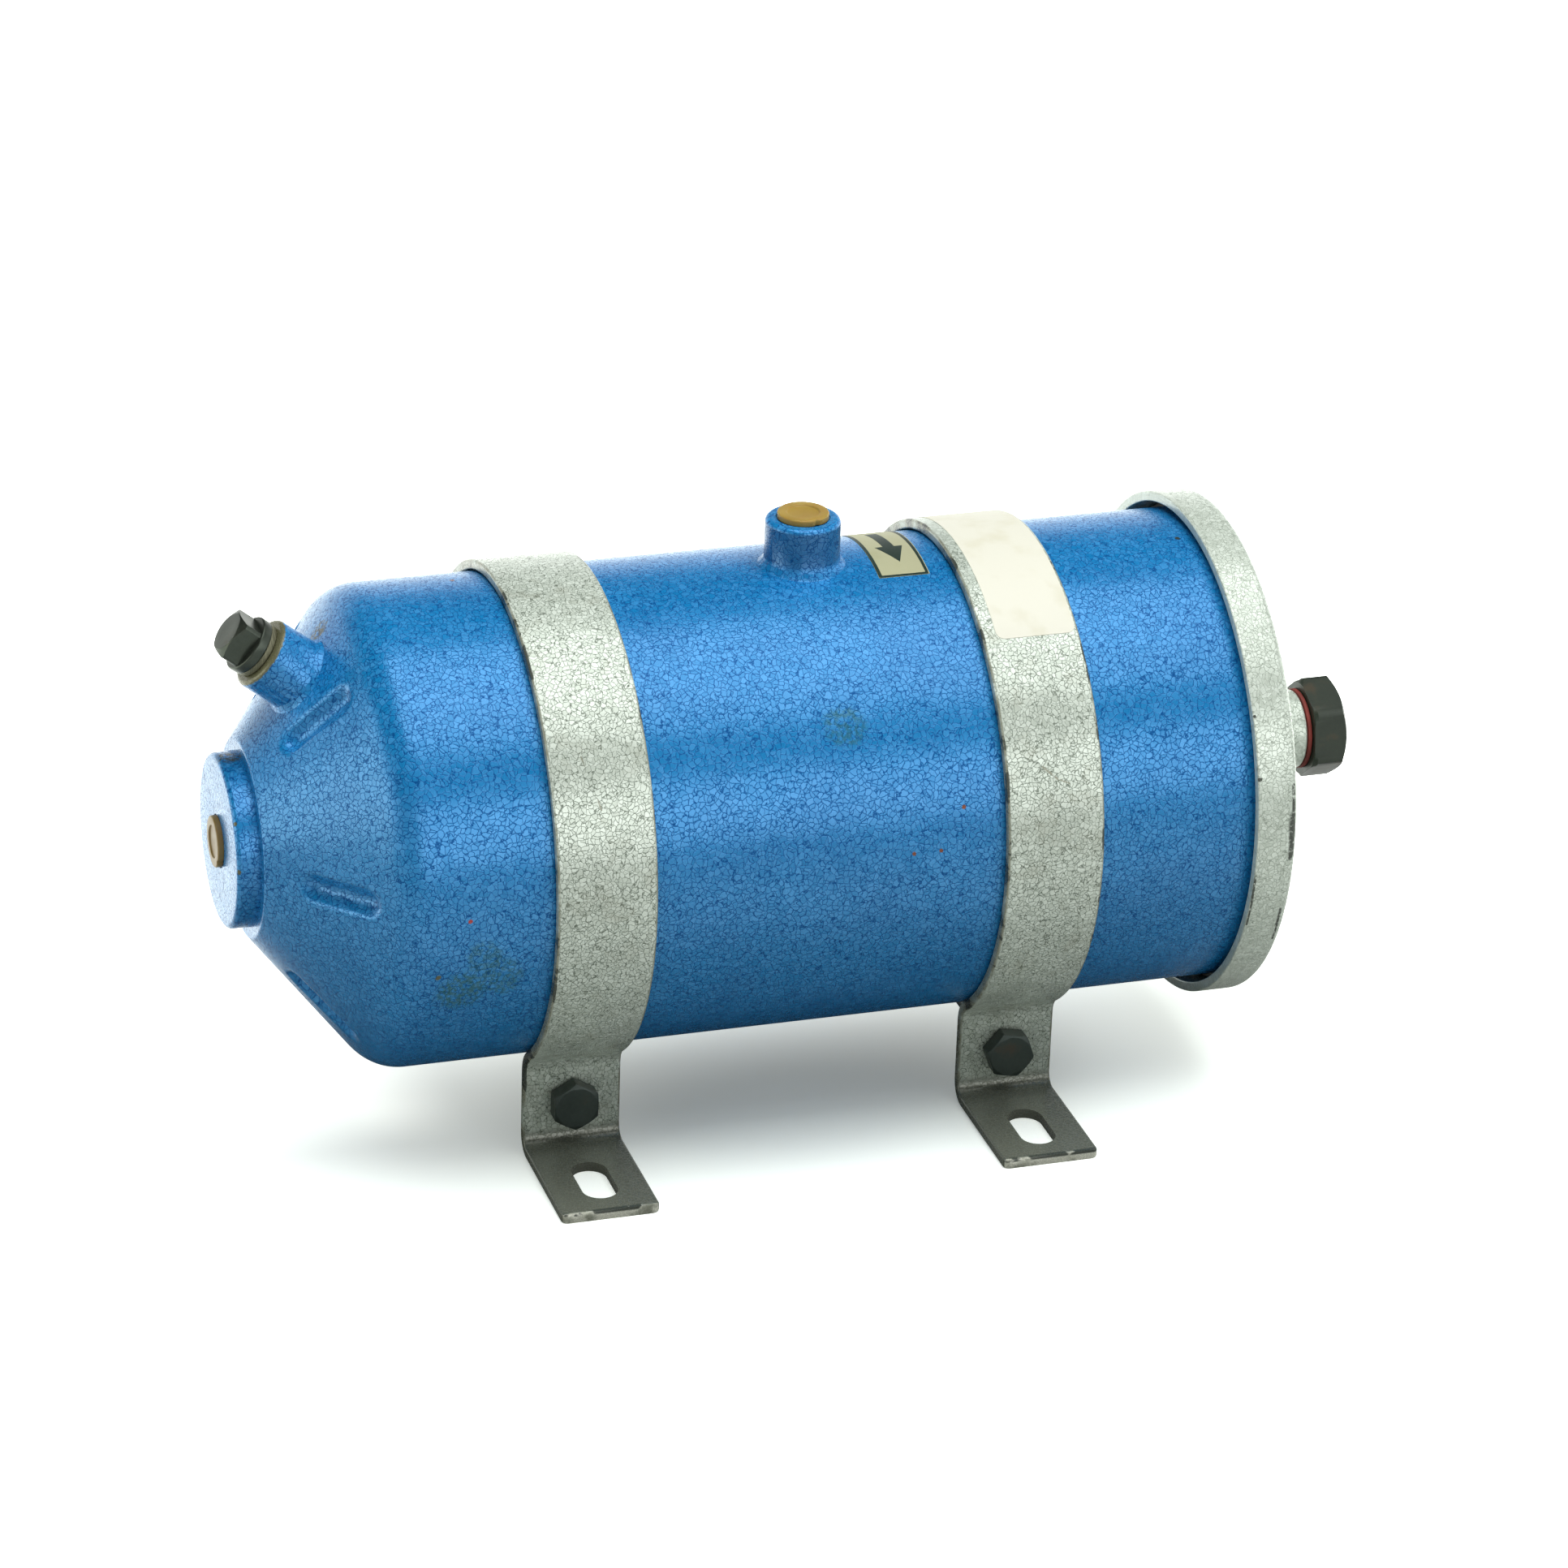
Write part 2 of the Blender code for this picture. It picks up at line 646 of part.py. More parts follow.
def make_cover_bolt():
    top = bolt_seat + COVER_BOLT_HEAD
    corner_radius = COVER_BOLT_FLATS / math.sqrt(3)
    end_radius, chamfer = chamfer_of(COVER_BOLT_FLATS, corner_radius)
    points = [
        (0.0, top),
        (end_radius, top),
        (corner_radius, top - chamfer),
        (corner_radius, bolt_seat + WASHER_FACE),
        (corner_radius - math.sqrt(3) * WASHER_FACE, bolt_seat),
        (COVER_BOLT_RADIUS, bolt_seat),
        (COVER_BOLT_RADIUS, bolt_seat - COVER_BOLT_LENGTH),
        (0.0, bolt_seat - COVER_BOLT_LENGTH),
    ]
    bolt = turned_solid("cover_bolt", points, SMALL_STEPS, main_axis, BLACK_STEEL)
    flats_cut(
        bolt, COVER_BOLT_FLATS, bolt_seat - CUT_MARGIN, top + CUT_MARGIN, main_axis, COVER_BOLT_TURN
    )
    ring = tube_points(
        collar_radius + BOLT_SEAL_MARGIN, COVER_BOLT_RADIUS + THREAD_GAP,
        bolt_seal_face, bolt_seal_face + BOLT_SEAL,
    )
    turned_ring("cover_bolt_seal", ring, SMALL_STEPS, main_axis, RED_RUBBER)


def rod_row_mesh(name, radius, reach, low, high, rows):
    """Rods through the axis, spread in a row between two heights."""
    form = bmesh.new()
    for row in range(rows):
        height = low + (high - low) * (row + 0.5) / rows
        place = Matrix.Translation((0, 0, height)) @ Matrix.Rotation(math.pi / 2, 4, "X")
        bmesh.ops.create_cone(
            form, cap_ends=True, segments=CROSS_HOLE_STEPS, radius1=radius, radius2=radius,
            depth=2 * reach, matrix=place,
        )
    mesh = bpy.data.meshes.new(name)
    form.to_mesh(mesh)
    form.free()
    return mesh


def cut_cross_holes(piece, radius, reach, low, high, rows, ways):
    """Cuts rows of holes right through a tube, one direction at a time so that no two rods cross."""
    for way in range(ways):
        name = f"{piece.name}_holes_{way}"
        rods = add_cutter(name, rod_row_mesh(name, radius, reach, low, high, rows), main_axis)
        rods.rotation_euler.z = math.pi * way / ways
        cut(piece, rods)


def make_centre_tube():
    points = tube_points(tube_radius, tube_bore, tube_foot, tube_top)
    tube = turned_ring("centre_tube", points, SMALL_STEPS, main_axis, BRIGHT_STEEL)
    cut_cross_holes(
        tube, TUBE_HOLE_RADIUS, 2 * tube_radius, element_foot + END_CAP_RIM,
        element_top - END_CAP_RIM, TUBE_HOLE_ROWS, 2,
    )
    plate_radius = tube_radius + SEAT_PLATE_WIDTH
    plate = tube_points(plate_radius, tube_radius + FIT_GAP, seat_top - SEAT_PLATE, seat_top)
    turned_ring("seat_plate", plate, SMALL_STEPS, main_axis, BRIGHT_STEEL)


def make_end_cap(name, outer_face, inward):
    """A shallow tin cup over one end of the pleats. inward is +1 or -1 along the axis."""
    rim_bore = ELEMENT_RADIUS - END_CAP_WALL
    floor = outer_face + inward * END_CAP_WALL
    lip = outer_face + inward * END_CAP_RIM
    points = [
        (ELEMENT_RADIUS, lip),
        (ELEMENT_RADIUS, outer_face),
        (element_bore, outer_face),
        (element_bore, floor),
        (rim_bore, floor),
        (rim_bore, lip),
    ]
    if inward < 0:
        points.reverse()
    turned_ring(name, points, BROAD_STEPS, main_axis, BRIGHT_STEEL)


def pleat_path():
    """The paper's zigzag between an inner and an outer circle, its folds clear of core and caps."""
    turn_angle = math.pi / PLEATS
    fold_room = PLEAT_PAPER / math.sin(turn_angle)
    inner = CORE_RADIUS + FIT_GAP + fold_room / 2
    outer = ELEMENT_RADIUS - END_CAP_WALL - FIT_GAP - fold_room / 2
    path = []
    for i in range(2 * PLEATS):
        radius = outer if i % 2 else inner
        path.append((radius * math.cos(turn_angle * i), radius * math.sin(turn_angle * i)))
    return path


def make_element():
    make_end_cap("element_lower_cap", element_foot, 1)
    make_end_cap("element_upper_cap", element_top, -1)
    low = element_foot + END_CAP_WALL + FIT_GAP
    high = element_top - END_CAP_WALL - FIT_GAP
    core_bore = CORE_RADIUS - CORE_WALL
    points = tube_points(CORE_RADIUS, core_bore, low, high)
    core = turned_ring("element_core", points, SMALL_STEPS, main_axis, BRIGHT_STEEL)
    cut_cross_holes(
        core, CORE_HOLE_RADIUS, 2 * CORE_RADIUS, low + END_CAP_RIM, high - END_CAP_RIM,
        CORE_HOLE_ROWS, 2,
    )
    path = pleat_path()
    sides = [offset_path(path, side * PLEAT_PAPER / 2, True) for side in (1, -1)]
    media = add_part(
        "element_media", flat_mesh("element_media", sides, high - low), main_axis, FILTER_PAPER
    )
    media.location.z = (low + high) / 2
    ring = tube_points(
        element_bore + ELEMENT_SEAL_WIDTH, element_bore, element_seal_foot, element_foot - FIT_GAP
    )
    turned_ring("lower_element_seal", ring, SMALL_STEPS, main_axis, BLACK_RUBBER)
    ring = tube_points(core_bore - FIT_GAP, tube_radius + FIT_GAP, high - ELEMENT_SEAL, high)
    turned_ring("upper_element_seal", ring, SMALL_STEPS, main_axis, BLACK_RUBBER)


def spring_rise(turns):
    """The wire's height above the spring's foot after so many turns: close at the ends, open between."""
    close_pitch = 2 * SPRING_WIRE_RADIUS + SPRING_END_GAP
    travel = SPRING_LENGTH - 2 * FIT_GAP - 2 * SPRING_WIRE_RADIUS
    open_pitch = (travel - 2 * SPRING_END_TURNS * close_pitch) / SPRING_ACTIVE_TURNS
    opened = min(max(turns - SPRING_END_TURNS, 0), SPRING_ACTIVE_TURNS)
    return (turns - opened) * close_pitch + opened * open_pitch


def make_spring():
    points_per_turn = 10
    turns = SPRING_ACTIVE_TURNS + 2 * SPRING_END_TURNS
    foot = element_top + FIT_GAP + SPRING_WIRE_RADIUS
    points = []
    for i in range(turns * points_per_turn + 1):
        angle = 2 * math.pi * i / points_per_turn
        height = foot + spring_rise(i / points_per_turn)
        points.append(Vector((spring_radius * math.cos(angle), spring_radius * math.sin(angle), height)))
    curve = bpy.data.curves.new("element_spring", "CURVE")
    curve.dimensions = "3D"
    curve.bevel_depth = SPRING_WIRE_RADIUS
    curve.bevel_resolution = 1
    curve.use_fill_caps = True
    spline = curve.splines.new("POLY")
    spline.points.add(len(points) - 1)
    for point, place in zip(spline.points, points):
        point.co = (*place, 1.0)
    add_part("element_spring", mesh_of_curve("element_spring", curve), main_axis, BRIGHT_STEEL)
    least = min(
        (points[i] - points[j]).length
        for i in range(len(points))
        for j in range(i + points_per_turn // 2, len(points))
    )
    print(f"element_spring least gap to itself {1000 * (least - 2 * SPRING_WIRE_RADIUS):.2f} mm")


def arc(centre, radius, start, end, steps):
    """Points on an arc about a centre, from one angle to another."""
    angles = [start + (end - start) * i / steps for i in range(steps + 1)]
    return [(centre[0] + radius * math.cos(a), centre[1] + radius * math.sin(a)) for a in angles]


def strap_half_path():
    """The middle of the bar from a foot's tip up its flange and round the canister to the top."""
    half_bar = STRAP_THICKNESS / 2
    flange = -FLANGE_HALF_GAP - half_bar
    foot_bend = FOOT_BEND + half_bar
    shoulder_bend = SHOULDER_BEND + half_bar
    half_step = math.pi / BAND_STEPS
    band = (BODY_RADIUS + FIT_GAP) / math.cos(half_step) + half_bar
    across = flange - shoulder_bend
    bend_height = axis_height - math.sqrt((band + shoulder_bend) ** 2 - across ** 2)
    lean = math.atan2(axis_height - bend_height, -across)
    foot_centre = (flange - foot_bend, half_bar + foot_bend)
    return [
        (-FLANGE_HALF_GAP - FOOT_LENGTH, half_bar),
        *arc(foot_centre, foot_bend, -math.pi / 2, 0, ARC_STEPS),
        *arc((across, bend_height), shoulder_bend, 0, lean, ARC_STEPS),
        *arc((0, axis_height), band, math.pi + lean, math.pi / 2, BAND_STEPS // 2)[1:],
    ]


def slot_cutter(name, station, side):
    """A round-ended slot through a foot, along Y."""
    middle = FLANGE_HALF_GAP + FOOT_LENGTH - SLOT_EDGE - SLOT_LENGTH / 2
    form = bmesh.new()
    bmesh.ops.create_cone(
        form, cap_ends=True, segments=SMALL_STEPS, radius1=SLOT_WIDTH / 2, radius2=SLOT_WIDTH / 2,
        depth=2 * (STRAP_THICKNESS + CUT_MARGIN), matrix=Matrix.Rotation(math.pi / SMALL_STEPS, 4, "Z"),
    )
    for vert in form.verts:
        vert.co.y += math.copysign((SLOT_LENGTH - SLOT_WIDTH) / 2, vert.co.y)
    mesh = bpy.data.meshes.new(name)
    form.to_mesh(mesh)
    form.free()
    cutter = add_cutter(name, mesh, None)
    cutter.location = (station, side * middle, 0)
    return cutter


def make_strap(end, station):
    name = end + "_strap"
    half = strap_half_path()
    path = half + [(-across, up) for across, up in reversed(half[:-1])]
    outer = offset_path(path, STRAP_THICKNESS / 2, False)
    inner = offset_path(path, -STRAP_THICKNESS / 2, False)
    mesh = flat_mesh(name, [outer + inner[::-1]], STRAP_WIDTH)
    strap = add_part(name, mesh, None, SILVER_PAINT)
    strap.location = (station, 0, 0)
    strap.rotation_euler = (math.pi / 2, 0, math.pi / 2)
    for side in (-1, 1):
        cut(strap, slot_cutter(f"{name}_slot_{side}", station, side))


def make_clamp(end, station, bolt_turn):
    """One band with the bolt that draws its two flanges together and the nut on its far flange."""
    make_strap(end, station)
    axis = axis_empty(end + "_clamp_axis", (station, 0, clamp_height), (math.pi / 2, 0, 0))
    hole = cylinder_points(
        CLAMP_BOLT_RADIUS + BOLT_HOLE_GAP, -FLANGE_HALF_GAP - STRAP_THICKNESS - CUT_MARGIN,
        FLANGE_HALF_GAP + STRAP_THICKNESS + CUT_MARGIN,
    )
    cut(bpy.data.objects[end + "_strap"], turned_cutter(end + "_bolt_hole", hole, SMALL_STEPS, axis))
    seat = FLANGE_HALF_GAP + STRAP_THICKNESS + FIT_GAP
    top = seat + CLAMP_HEAD
    tip = seat - CLAMP_BOLT_LENGTH
    end_radius, chamfer = chamfer_of(CLAMP_FLATS, clamp_corner)
    points = [
        (0.0, top),
        (end_radius, top),
        (clamp_corner, top - chamfer),
        (clamp_corner, seat),
        (CLAMP_BOLT_RADIUS, seat),
        (CLAMP_BOLT_RADIUS, tip),
        (0.0, tip),
    ]
    bolt = turned_solid(end + "_clamp_bolt", points, SMALL_STEPS, axis, BLACK_STEEL)
    flats_cut(bolt, CLAMP_FLATS, seat - CUT_MARGIN, top + CUT_MARGIN, axis, bolt_turn)
    bore = CLAMP_BOLT_RADIUS + THREAD_GAP
    points = [
        (bore, -seat),
        (end_radius, -seat),
        (clamp_corner, -seat - chamfer),
        (clamp_corner, -seat - CLAMP_NUT + chamfer),
        (end_radius, -seat - CLAMP_NUT),
        (bore, -seat - CLAMP_NUT),
    ]
    nut = turned_ring(end + "_clamp_nut", points, SMALL_STEPS, axis, BLACK_STEEL)
    flats_cut(nut, CLAMP_FLATS, -seat - CLAMP_NUT - CUT_MARGIN, -seat + CUT_MARGIN, axis)


def settle(piece):
    """Makes the piece's modifiers into its mesh, shaded smooth except across its hard edges."""
    graph = bpy.context.evaluated_depsgraph_get()
    mesh = bpy.data.meshes.new_from_object(piece.evaluated_get(graph))
    piece.modifiers.clear()
    piece.data = mesh
    mesh.shade_smooth()
    mesh.set_sharp_from_angle(angle=HARD_EDGE_ANGLE)


make_shell()
make_bosses_and_caps()
make_vent_plug()
make_cover()
make_cover_collar()
make_cover_bolt()
make_centre_tube()
make_element()
make_spring()
for strap_end, strap_station, turned in zip(("cone_end", "cover_end"), strap_stations, CLAMP_BOLT_TURNS):
    make_clamp(strap_end, strap_station, turned)
for part in [part for part in PARTS.objects if part.type == "MESH"]:
    settle(part)
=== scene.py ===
# %% [markdown]
# # A fluid canister in two clamp bands
#
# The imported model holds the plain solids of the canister. This script dresses them: each painted,
# turned or moulded piece becomes a finer surface in the same place, and gets a finish built from nodes.
# Every shape below is worked out in millimetres and becomes metres when its mesh is made.

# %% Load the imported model
import json
import math

import bmesh
import bpy
import numpy as np
from mathutils import Matrix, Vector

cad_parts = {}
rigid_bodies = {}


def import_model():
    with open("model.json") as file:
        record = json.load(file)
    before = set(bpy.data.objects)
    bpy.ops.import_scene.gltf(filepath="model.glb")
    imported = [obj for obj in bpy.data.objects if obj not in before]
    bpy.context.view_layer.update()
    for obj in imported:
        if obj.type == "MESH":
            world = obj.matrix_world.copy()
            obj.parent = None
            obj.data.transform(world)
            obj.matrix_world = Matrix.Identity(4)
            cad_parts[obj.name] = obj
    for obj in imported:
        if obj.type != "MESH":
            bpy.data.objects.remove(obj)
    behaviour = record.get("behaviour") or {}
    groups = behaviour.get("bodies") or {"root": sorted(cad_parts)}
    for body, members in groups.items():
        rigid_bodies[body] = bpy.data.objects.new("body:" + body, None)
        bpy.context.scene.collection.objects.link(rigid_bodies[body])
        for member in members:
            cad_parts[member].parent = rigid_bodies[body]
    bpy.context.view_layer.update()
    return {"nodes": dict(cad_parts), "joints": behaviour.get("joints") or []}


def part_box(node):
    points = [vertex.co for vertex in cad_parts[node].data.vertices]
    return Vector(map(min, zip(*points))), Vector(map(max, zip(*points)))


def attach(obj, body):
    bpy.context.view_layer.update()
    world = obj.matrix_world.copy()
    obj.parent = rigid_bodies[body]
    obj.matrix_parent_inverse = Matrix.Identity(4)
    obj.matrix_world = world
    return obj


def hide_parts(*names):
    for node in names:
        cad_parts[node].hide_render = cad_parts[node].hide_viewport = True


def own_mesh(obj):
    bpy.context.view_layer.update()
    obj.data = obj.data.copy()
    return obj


for left_over in list(bpy.data.objects):
    bpy.data.objects.remove(left_over)
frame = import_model()
joints = {joint["name"]: joint for joint in frame["joints"]}

# %% [markdown]
# ## The view
#
# A camera can be placed by eye, but here its place was worked out from the straight edges and circles
# of the canister. It stands 1.8 m away, a little to the left and 25 degrees above, behind a long lens,
# which is why the two bands look almost the same size. Its three directions go straight into a matrix.

# %% Camera
CAMERA_RIGHT = (0.95415406, -0.2975779, 0.03220901)
CAMERA_UP = (0.1001154, 0.41870368, 0.90258747)
CAMERA_BACK = (-0.28207612, -0.85798288, 0.42929995)
CAMERA_PLACE = (-0.50432, -1.53160, 0.85659)


def stand(thing, *columns):
    """Puts a camera or lamp into the scene. The columns are its own right, up and back, and its place."""
    bpy.context.scene.collection.objects.link(thing)
    thing.matrix_world = Matrix([[column[row] for column in columns] for row in range(3)] + [[0, 0, 0, 1]])


camera = bpy.data.objects.new("view_camera", bpy.data.cameras.new("view_camera"))
stand(camera, CAMERA_RIGHT, CAMERA_UP, CAMERA_BACK, CAMERA_PLACE)
camera.data.sensor_width = 36
camera.data.lens = 139.9
camera.data.clip_start, camera.data.clip_end = 0.01, 100
bpy.context.scene.camera = camera
bpy.context.scene.view_settings.view_transform = "Standard"
print("camera at", [round(value, 3) for value in camera.location])

# %% [markdown]
# ## Helpers for nodes
#
# Materials here are node trees, and writing them out link by link gets long. A few small functions keep
# them readable: one adds a node with its values and links, and others do arithmetic, mix colours and make
# noise. Colours are read off as 0 to 255, while shaders take linear light, so the last converts them.

# %% Node helpers
def node(tree, kind, inputs=(), **settings):
    """Adds a node. inputs maps sockets to plain values, or to the outputs that feed them."""
    made = tree.nodes.new(kind)
    for name, value in settings.items():
        setattr(made, name, value)
    for socket, value in dict(inputs).items():
        if isinstance(value, bpy.types.NodeSocket):
            tree.links.new(value, made.inputs[socket])
        else:
            made.inputs[socket].default_value = value
    return made


def calc(tree, operation, *values, clamp=False):
    """Arithmetic on sockets or numbers."""
    return node(tree, "ShaderNodeMath", enumerate(values), operation=operation, use_clamp=clamp).outputs[0]


def times(tree, *values):
    """The product of sockets or numbers."""
    product = values[0]
    for value in values[1:]:
        product = calc(tree, "MULTIPLY", product, value)
    return product


def vectors(tree, operation, first, second=(0, 0, 0)):
    """Arithmetic on vectors. SCALE takes a number as its second value, and measuring gives a number."""
    inputs = {0: first, 3 if operation == "SCALE" else 1: second}
    measures = operation in ("LENGTH", "DISTANCE", "DOT_PRODUCT")
    made = node(tree, "ShaderNodeVectorMath", inputs, operation=operation)
    return made.outputs["Value" if measures else "Vector"]


def noise(tree, place, scale, detail):
    """Soft noise between 0 and 1, with about so many waves a metre and finer ones over them."""
    return node(tree, "ShaderNodeTexNoise", {"Vector": place, "Scale": scale, "Detail": detail}).outputs["Fac"]


def mixed(tree, share, first, second):
    """A colour that goes from first to second as share goes from 0 to 1."""
    inputs = {0: share, 6: first, 7: second}
    return node(tree, "ShaderNodeMix", inputs, data_type="RGBA").outputs[2]


def ease(tree, value, low, high):
    """0 up to low, 1 from high, and a smooth S between; with low above high it falls instead."""
    inputs = {"Value": value, "From Min": low, "From Max": high}
    return node(tree, "ShaderNodeMapRange", inputs, interpolation_type="SMOOTHSTEP").outputs[0]


def colour(red, green, blue):
    """A colour seen as 0 to 255, as linear light: below 0.04045 a straight line, above it a power of 2.4."""
    seen = np.array([red, green, blue]) / 255
    linear = np.where(seen <= 0.04045, seen / 12.92, ((seen + 0.055) / 1.055) ** 2.4)
    return (*linear.tolist(), 1.0)


print("white is", colour(255, 255, 255))

# %% [markdown]
# ## Floor and light
#
# The canister stands in a white tent: pale walls to about 30 degrees up, lower at the back, with dimness over
# them. That is why its barrel shows a pale band near the top, a dark band in front, and a paler one below. A
# world whose strength depends on direction gives the same bands: reflections see a brighter strip in front,
# and a dark gap where the camera stands. Lamps overhead and at both sides do the rest. The floor glows a little
# for rays that only look at it, and more so away from the canister, so it stays white and keeps the shadow.
# That glow is painted light as well: it is weakest inside an ellipse that gives the floor's shadow its outline,
# and stronger left of the canister and behind it. Bounced and reflected rays see the floor darker near the
# canister, which is painted shade under it.

# %% Floor
FLOOR_HALF = 20.0
SHADOW_SHIFT, SHADOW_SCALE = (0.02, 0.58, 0), (8.0, 18.0, 0)
NEAR_GLOW, LEAST_GLOW, LEFT_GLOW, FAR_GLOW, BACK_GLOW = 0.42, 0.2, 0.35, 0.5, 1.7
floor_mesh = bpy.data.meshes.new("pale_floor")
corners = np.array([(-1, -1, 0), (1, -1, 0), (1, 1, 0), (-1, 1, 0)]) * FLOOR_HALF
floor_mesh.from_pydata(corners.tolist(), [], [(0, 1, 2, 3)])
floor = bpy.data.objects.new("pale_floor", floor_mesh)
bpy.context.scene.collection.objects.link(floor)

floor_look = bpy.data.materials.new("pale_floor")
floor_look.use_nodes = True
tree = floor_look.node_tree
tree.nodes.clear()
place = node(tree, "ShaderNodeTexCoord").outputs["Object"]
along, across, _ = node(tree, "ShaderNodeSeparateXYZ", {0: place}).outputs
rays = node(tree, "ShaderNodeLightPath").outputs
looking = rays["Is Camera Ray"]
squeezed = node(tree, "ShaderNodeMapping", {"Vector": place, "Location": SHADOW_SHIFT, "Scale": SHADOW_SCALE})
away = vectors(tree, "LENGTH", squeezed.outputs[0])
# Painted light on the floor: more glow behind the canister and to its left.
behind = ease(tree, across, 0.0, 0.13)
left_side = times(tree, ease(tree, along, -0.095, -0.13), ease(tree, across, -0.03, 0.0))
glow = calc(tree, "MULTIPLY_ADD", looking, NEAR_GLOW, times(tree, behind, BACK_GLOW))
glow = times(tree, glow, ease(tree, away, 0.28, 1.3))
least = calc(tree, "MULTIPLY_ADD", left_side, LEFT_GLOW, LEAST_GLOW)
least = calc(tree, "MULTIPLY_ADD", ease(tree, away, 6.0, 30.0), FAR_GLOW, least)
glow = calc(tree, "MULTIPLY_ADD", looking, least, glow)
direct = calc(tree, "MAXIMUM", looking, rays["Is Transmission Ray"])
seen = calc(tree, "MAXIMUM", direct, rays["Is Glossy Ray"])
# Painted shade: bounced and reflected rays see the floor darker near the canister.
shaded_bounce_colour = mixed(tree, ease(tree, away, 0.8, 3.2), colour(136, 138, 135), colour(228, 230, 227))
matt = node(tree, "ShaderNodeBsdfDiffuse", {"Color": mixed(tree, direct, shaded_bounce_colour, colour(236, 243, 238))})
lift = node(tree, "ShaderNodeEmission", {"Color": (0.97, 1, 0.94, 1), "Strength": times(tree, glow, seen)})
lifted = node(tree, "ShaderNodeAddShader", {0: matt.outputs[0], 1: lift.outputs[0]})
node(tree, "ShaderNodeOutputMaterial", {"Surface": lifted.outputs[0]})
floor_mesh.materials.append(floor_look)
print("floor", 2 * FLOOR_HALF, "m square")

# %% World
WALL_LEVEL, ROOF_LEVEL, STRIP_LEVEL = 0.45, 0.06, 1.5
GAP_DEPTH, BACK_LOWERING = 0.85, 0.22
world = bpy.data.worlds.new("white_tent")
bpy.context.scene.world = world
world.use_nodes = True
tree = world.node_tree
tree.nodes.clear()
direction = node(tree, "ShaderNodeTexCoord").outputs["Generated"]
rightward, backward, upward = node(tree, "ShaderNodeSeparateXYZ", {0: direction}).outputs
rays = node(tree, "ShaderNodeLightPath").outputs
lowered = calc(tree, "MULTIPLY_ADD", ease(tree, backward, 0.2, 0.6), BACK_LOWERING, upward)
walls = ease(tree, lowered, 0.56, 0.48)
strip = times(tree, ease(tree, upward, -0.10, 0.20), ease(tree, backward, -0.50, -0.75))
mirrored = calc(tree, "MULTIPLY_ADD", strip, STRIP_LEVEL, 1 - WALL_LEVEL)
mirrored = calc(tree, "MULTIPLY_ADD", mirrored, rays["Is Glossy Ray"], WALL_LEVEL)
gap = times(tree, ease(tree, rightward, -0.92, -0.70), ease(tree, rightward, -0.12, -0.36))
gap = times(tree, gap, ease(tree, backward, -0.20, -0.45))
clear = calc(tree, "MULTIPLY_ADD", gap, -GAP_DEPTH, 1.0)
level = calc(tree, "MULTIPLY_ADD", times(tree, walls, clear), mirrored, ROOF_LEVEL)
level = calc(tree, "MAXIMUM", level, rays["Is Camera Ray"])
sky = node(tree, "ShaderNodeBackground", {"Color": (1, 1, 1, 1), "Strength": level})
node(tree, "ShaderNodeOutputWorld", {"Surface": sky.outputs[0]})
print("walls", WALL_LEVEL, "and roof", ROOF_LEVEL)

# %% Lamps
AIM = np.array([0.0, 0.0, 0.09])


def softbox(name, towards, distance, width, length, power):
    """A rectangular lamp that stands in one direction from the canister and faces it."""
    towards = np.array(towards, float) / np.linalg.norm(towards)
    data = bpy.data.lights.new(name, "AREA")
    data.shape, data.size, data.size_y, data.energy = "RECTANGLE", width, length, power
    lamp = bpy.data.objects.new(name, data)
    across = np.cross((0, 1, 0), towards)
    across /= np.linalg.norm(across)
    stand(lamp, across, np.cross(towards, across), towards, AIM + distance * towards)
    return lamp


softbox("overhead_softbox", (0.16, -0.14, 0.98), 1.2, 1.3, 1.2, 9.8)
left_lamp = softbox("left_softbox", (-1.0, 0.0, 0.08), 1.4, 0.8, 0.8, 3.2)
left_lamp.data.color = (1.0, 1.0, 0.8)
fill_lamp = softbox("overhead_fill", (0.03, -0.14, 0.99), 1.25, 1.2, 0.9, 12.3)
right_lamp = softbox("right_softbox", (1.0, 0.15, 0.12), 1.4, 0.7, 0.7, 10.0)
fill_lamp.visible_glossy = right_lamp.visible_glossy = False
print("four lamps, of which the fill and the right one are left out of reflections")

# %% [markdown]
# ## From numbers to meshes
#
# Most pieces here were turned on a lathe, pressed, or bent from bar. Each is a grid of points: one row
# for each step along a profile or path, one column for each step round it. Screw and Bevel modifiers
# could do much of this, but a grid lets the profile change with the angle, which welds, hexagons,
# screw threads and pressed flutes all need.

# %% Grid to mesh
def build(name, *grids, sharp=32):
    """One object from grids of points. A grid is (points, ring): its columns always close on themselves,
    and its last row joins the first if ring is true. Otherwise its two end rows are filled in."""
    points, faces, start = [], [], 0
    for grid, ring in grids:
        rows, steps = grid.shape[:2]
        index = start + np.arange(rows * steps).reshape(rows, steps)
        here = index if ring else index[:-1]
        there = np.roll(index, -1, 0) if ring else index[1:]
        quads = np.stack([here, np.roll(here, -1, 1), np.roll(there, -1, 1), there], -1)
        faces += quads.reshape(-1, 4).tolist()
        if not ring:
            faces += [index[row].tolist() for row in (0, -1) if np.ptp(grid[row], 0).max() > 1e-6]
        points.append(grid.reshape(-1, 3))
        start += rows * steps
    mesh = bpy.data.meshes.new(name)
    mesh.from_pydata(np.concatenate(points) * 0.001, [], faces)
    work = bmesh.new()
    work.from_mesh(mesh)
    bmesh.ops.remove_doubles(work, verts=work.verts, dist=1e-7)
    bmesh.ops.recalc_face_normals(work, faces=work.faces)
    work.to_mesh(mesh)
    work.free()
    shade(mesh, sharp)
    piece = bpy.data.objects.new(name, mesh)
    bpy.context.scene.collection.objects.link(piece)
    return piece


def shade(mesh, sharp):
    """Smooth shading, with a crease wherever two faces meet at more than this many degrees."""
    mesh.polygons.foreach_set("use_smooth", np.ones(len(mesh.polygons), bool))
    mesh.set_sharp_from_angle(angle=math.radians(sharp))


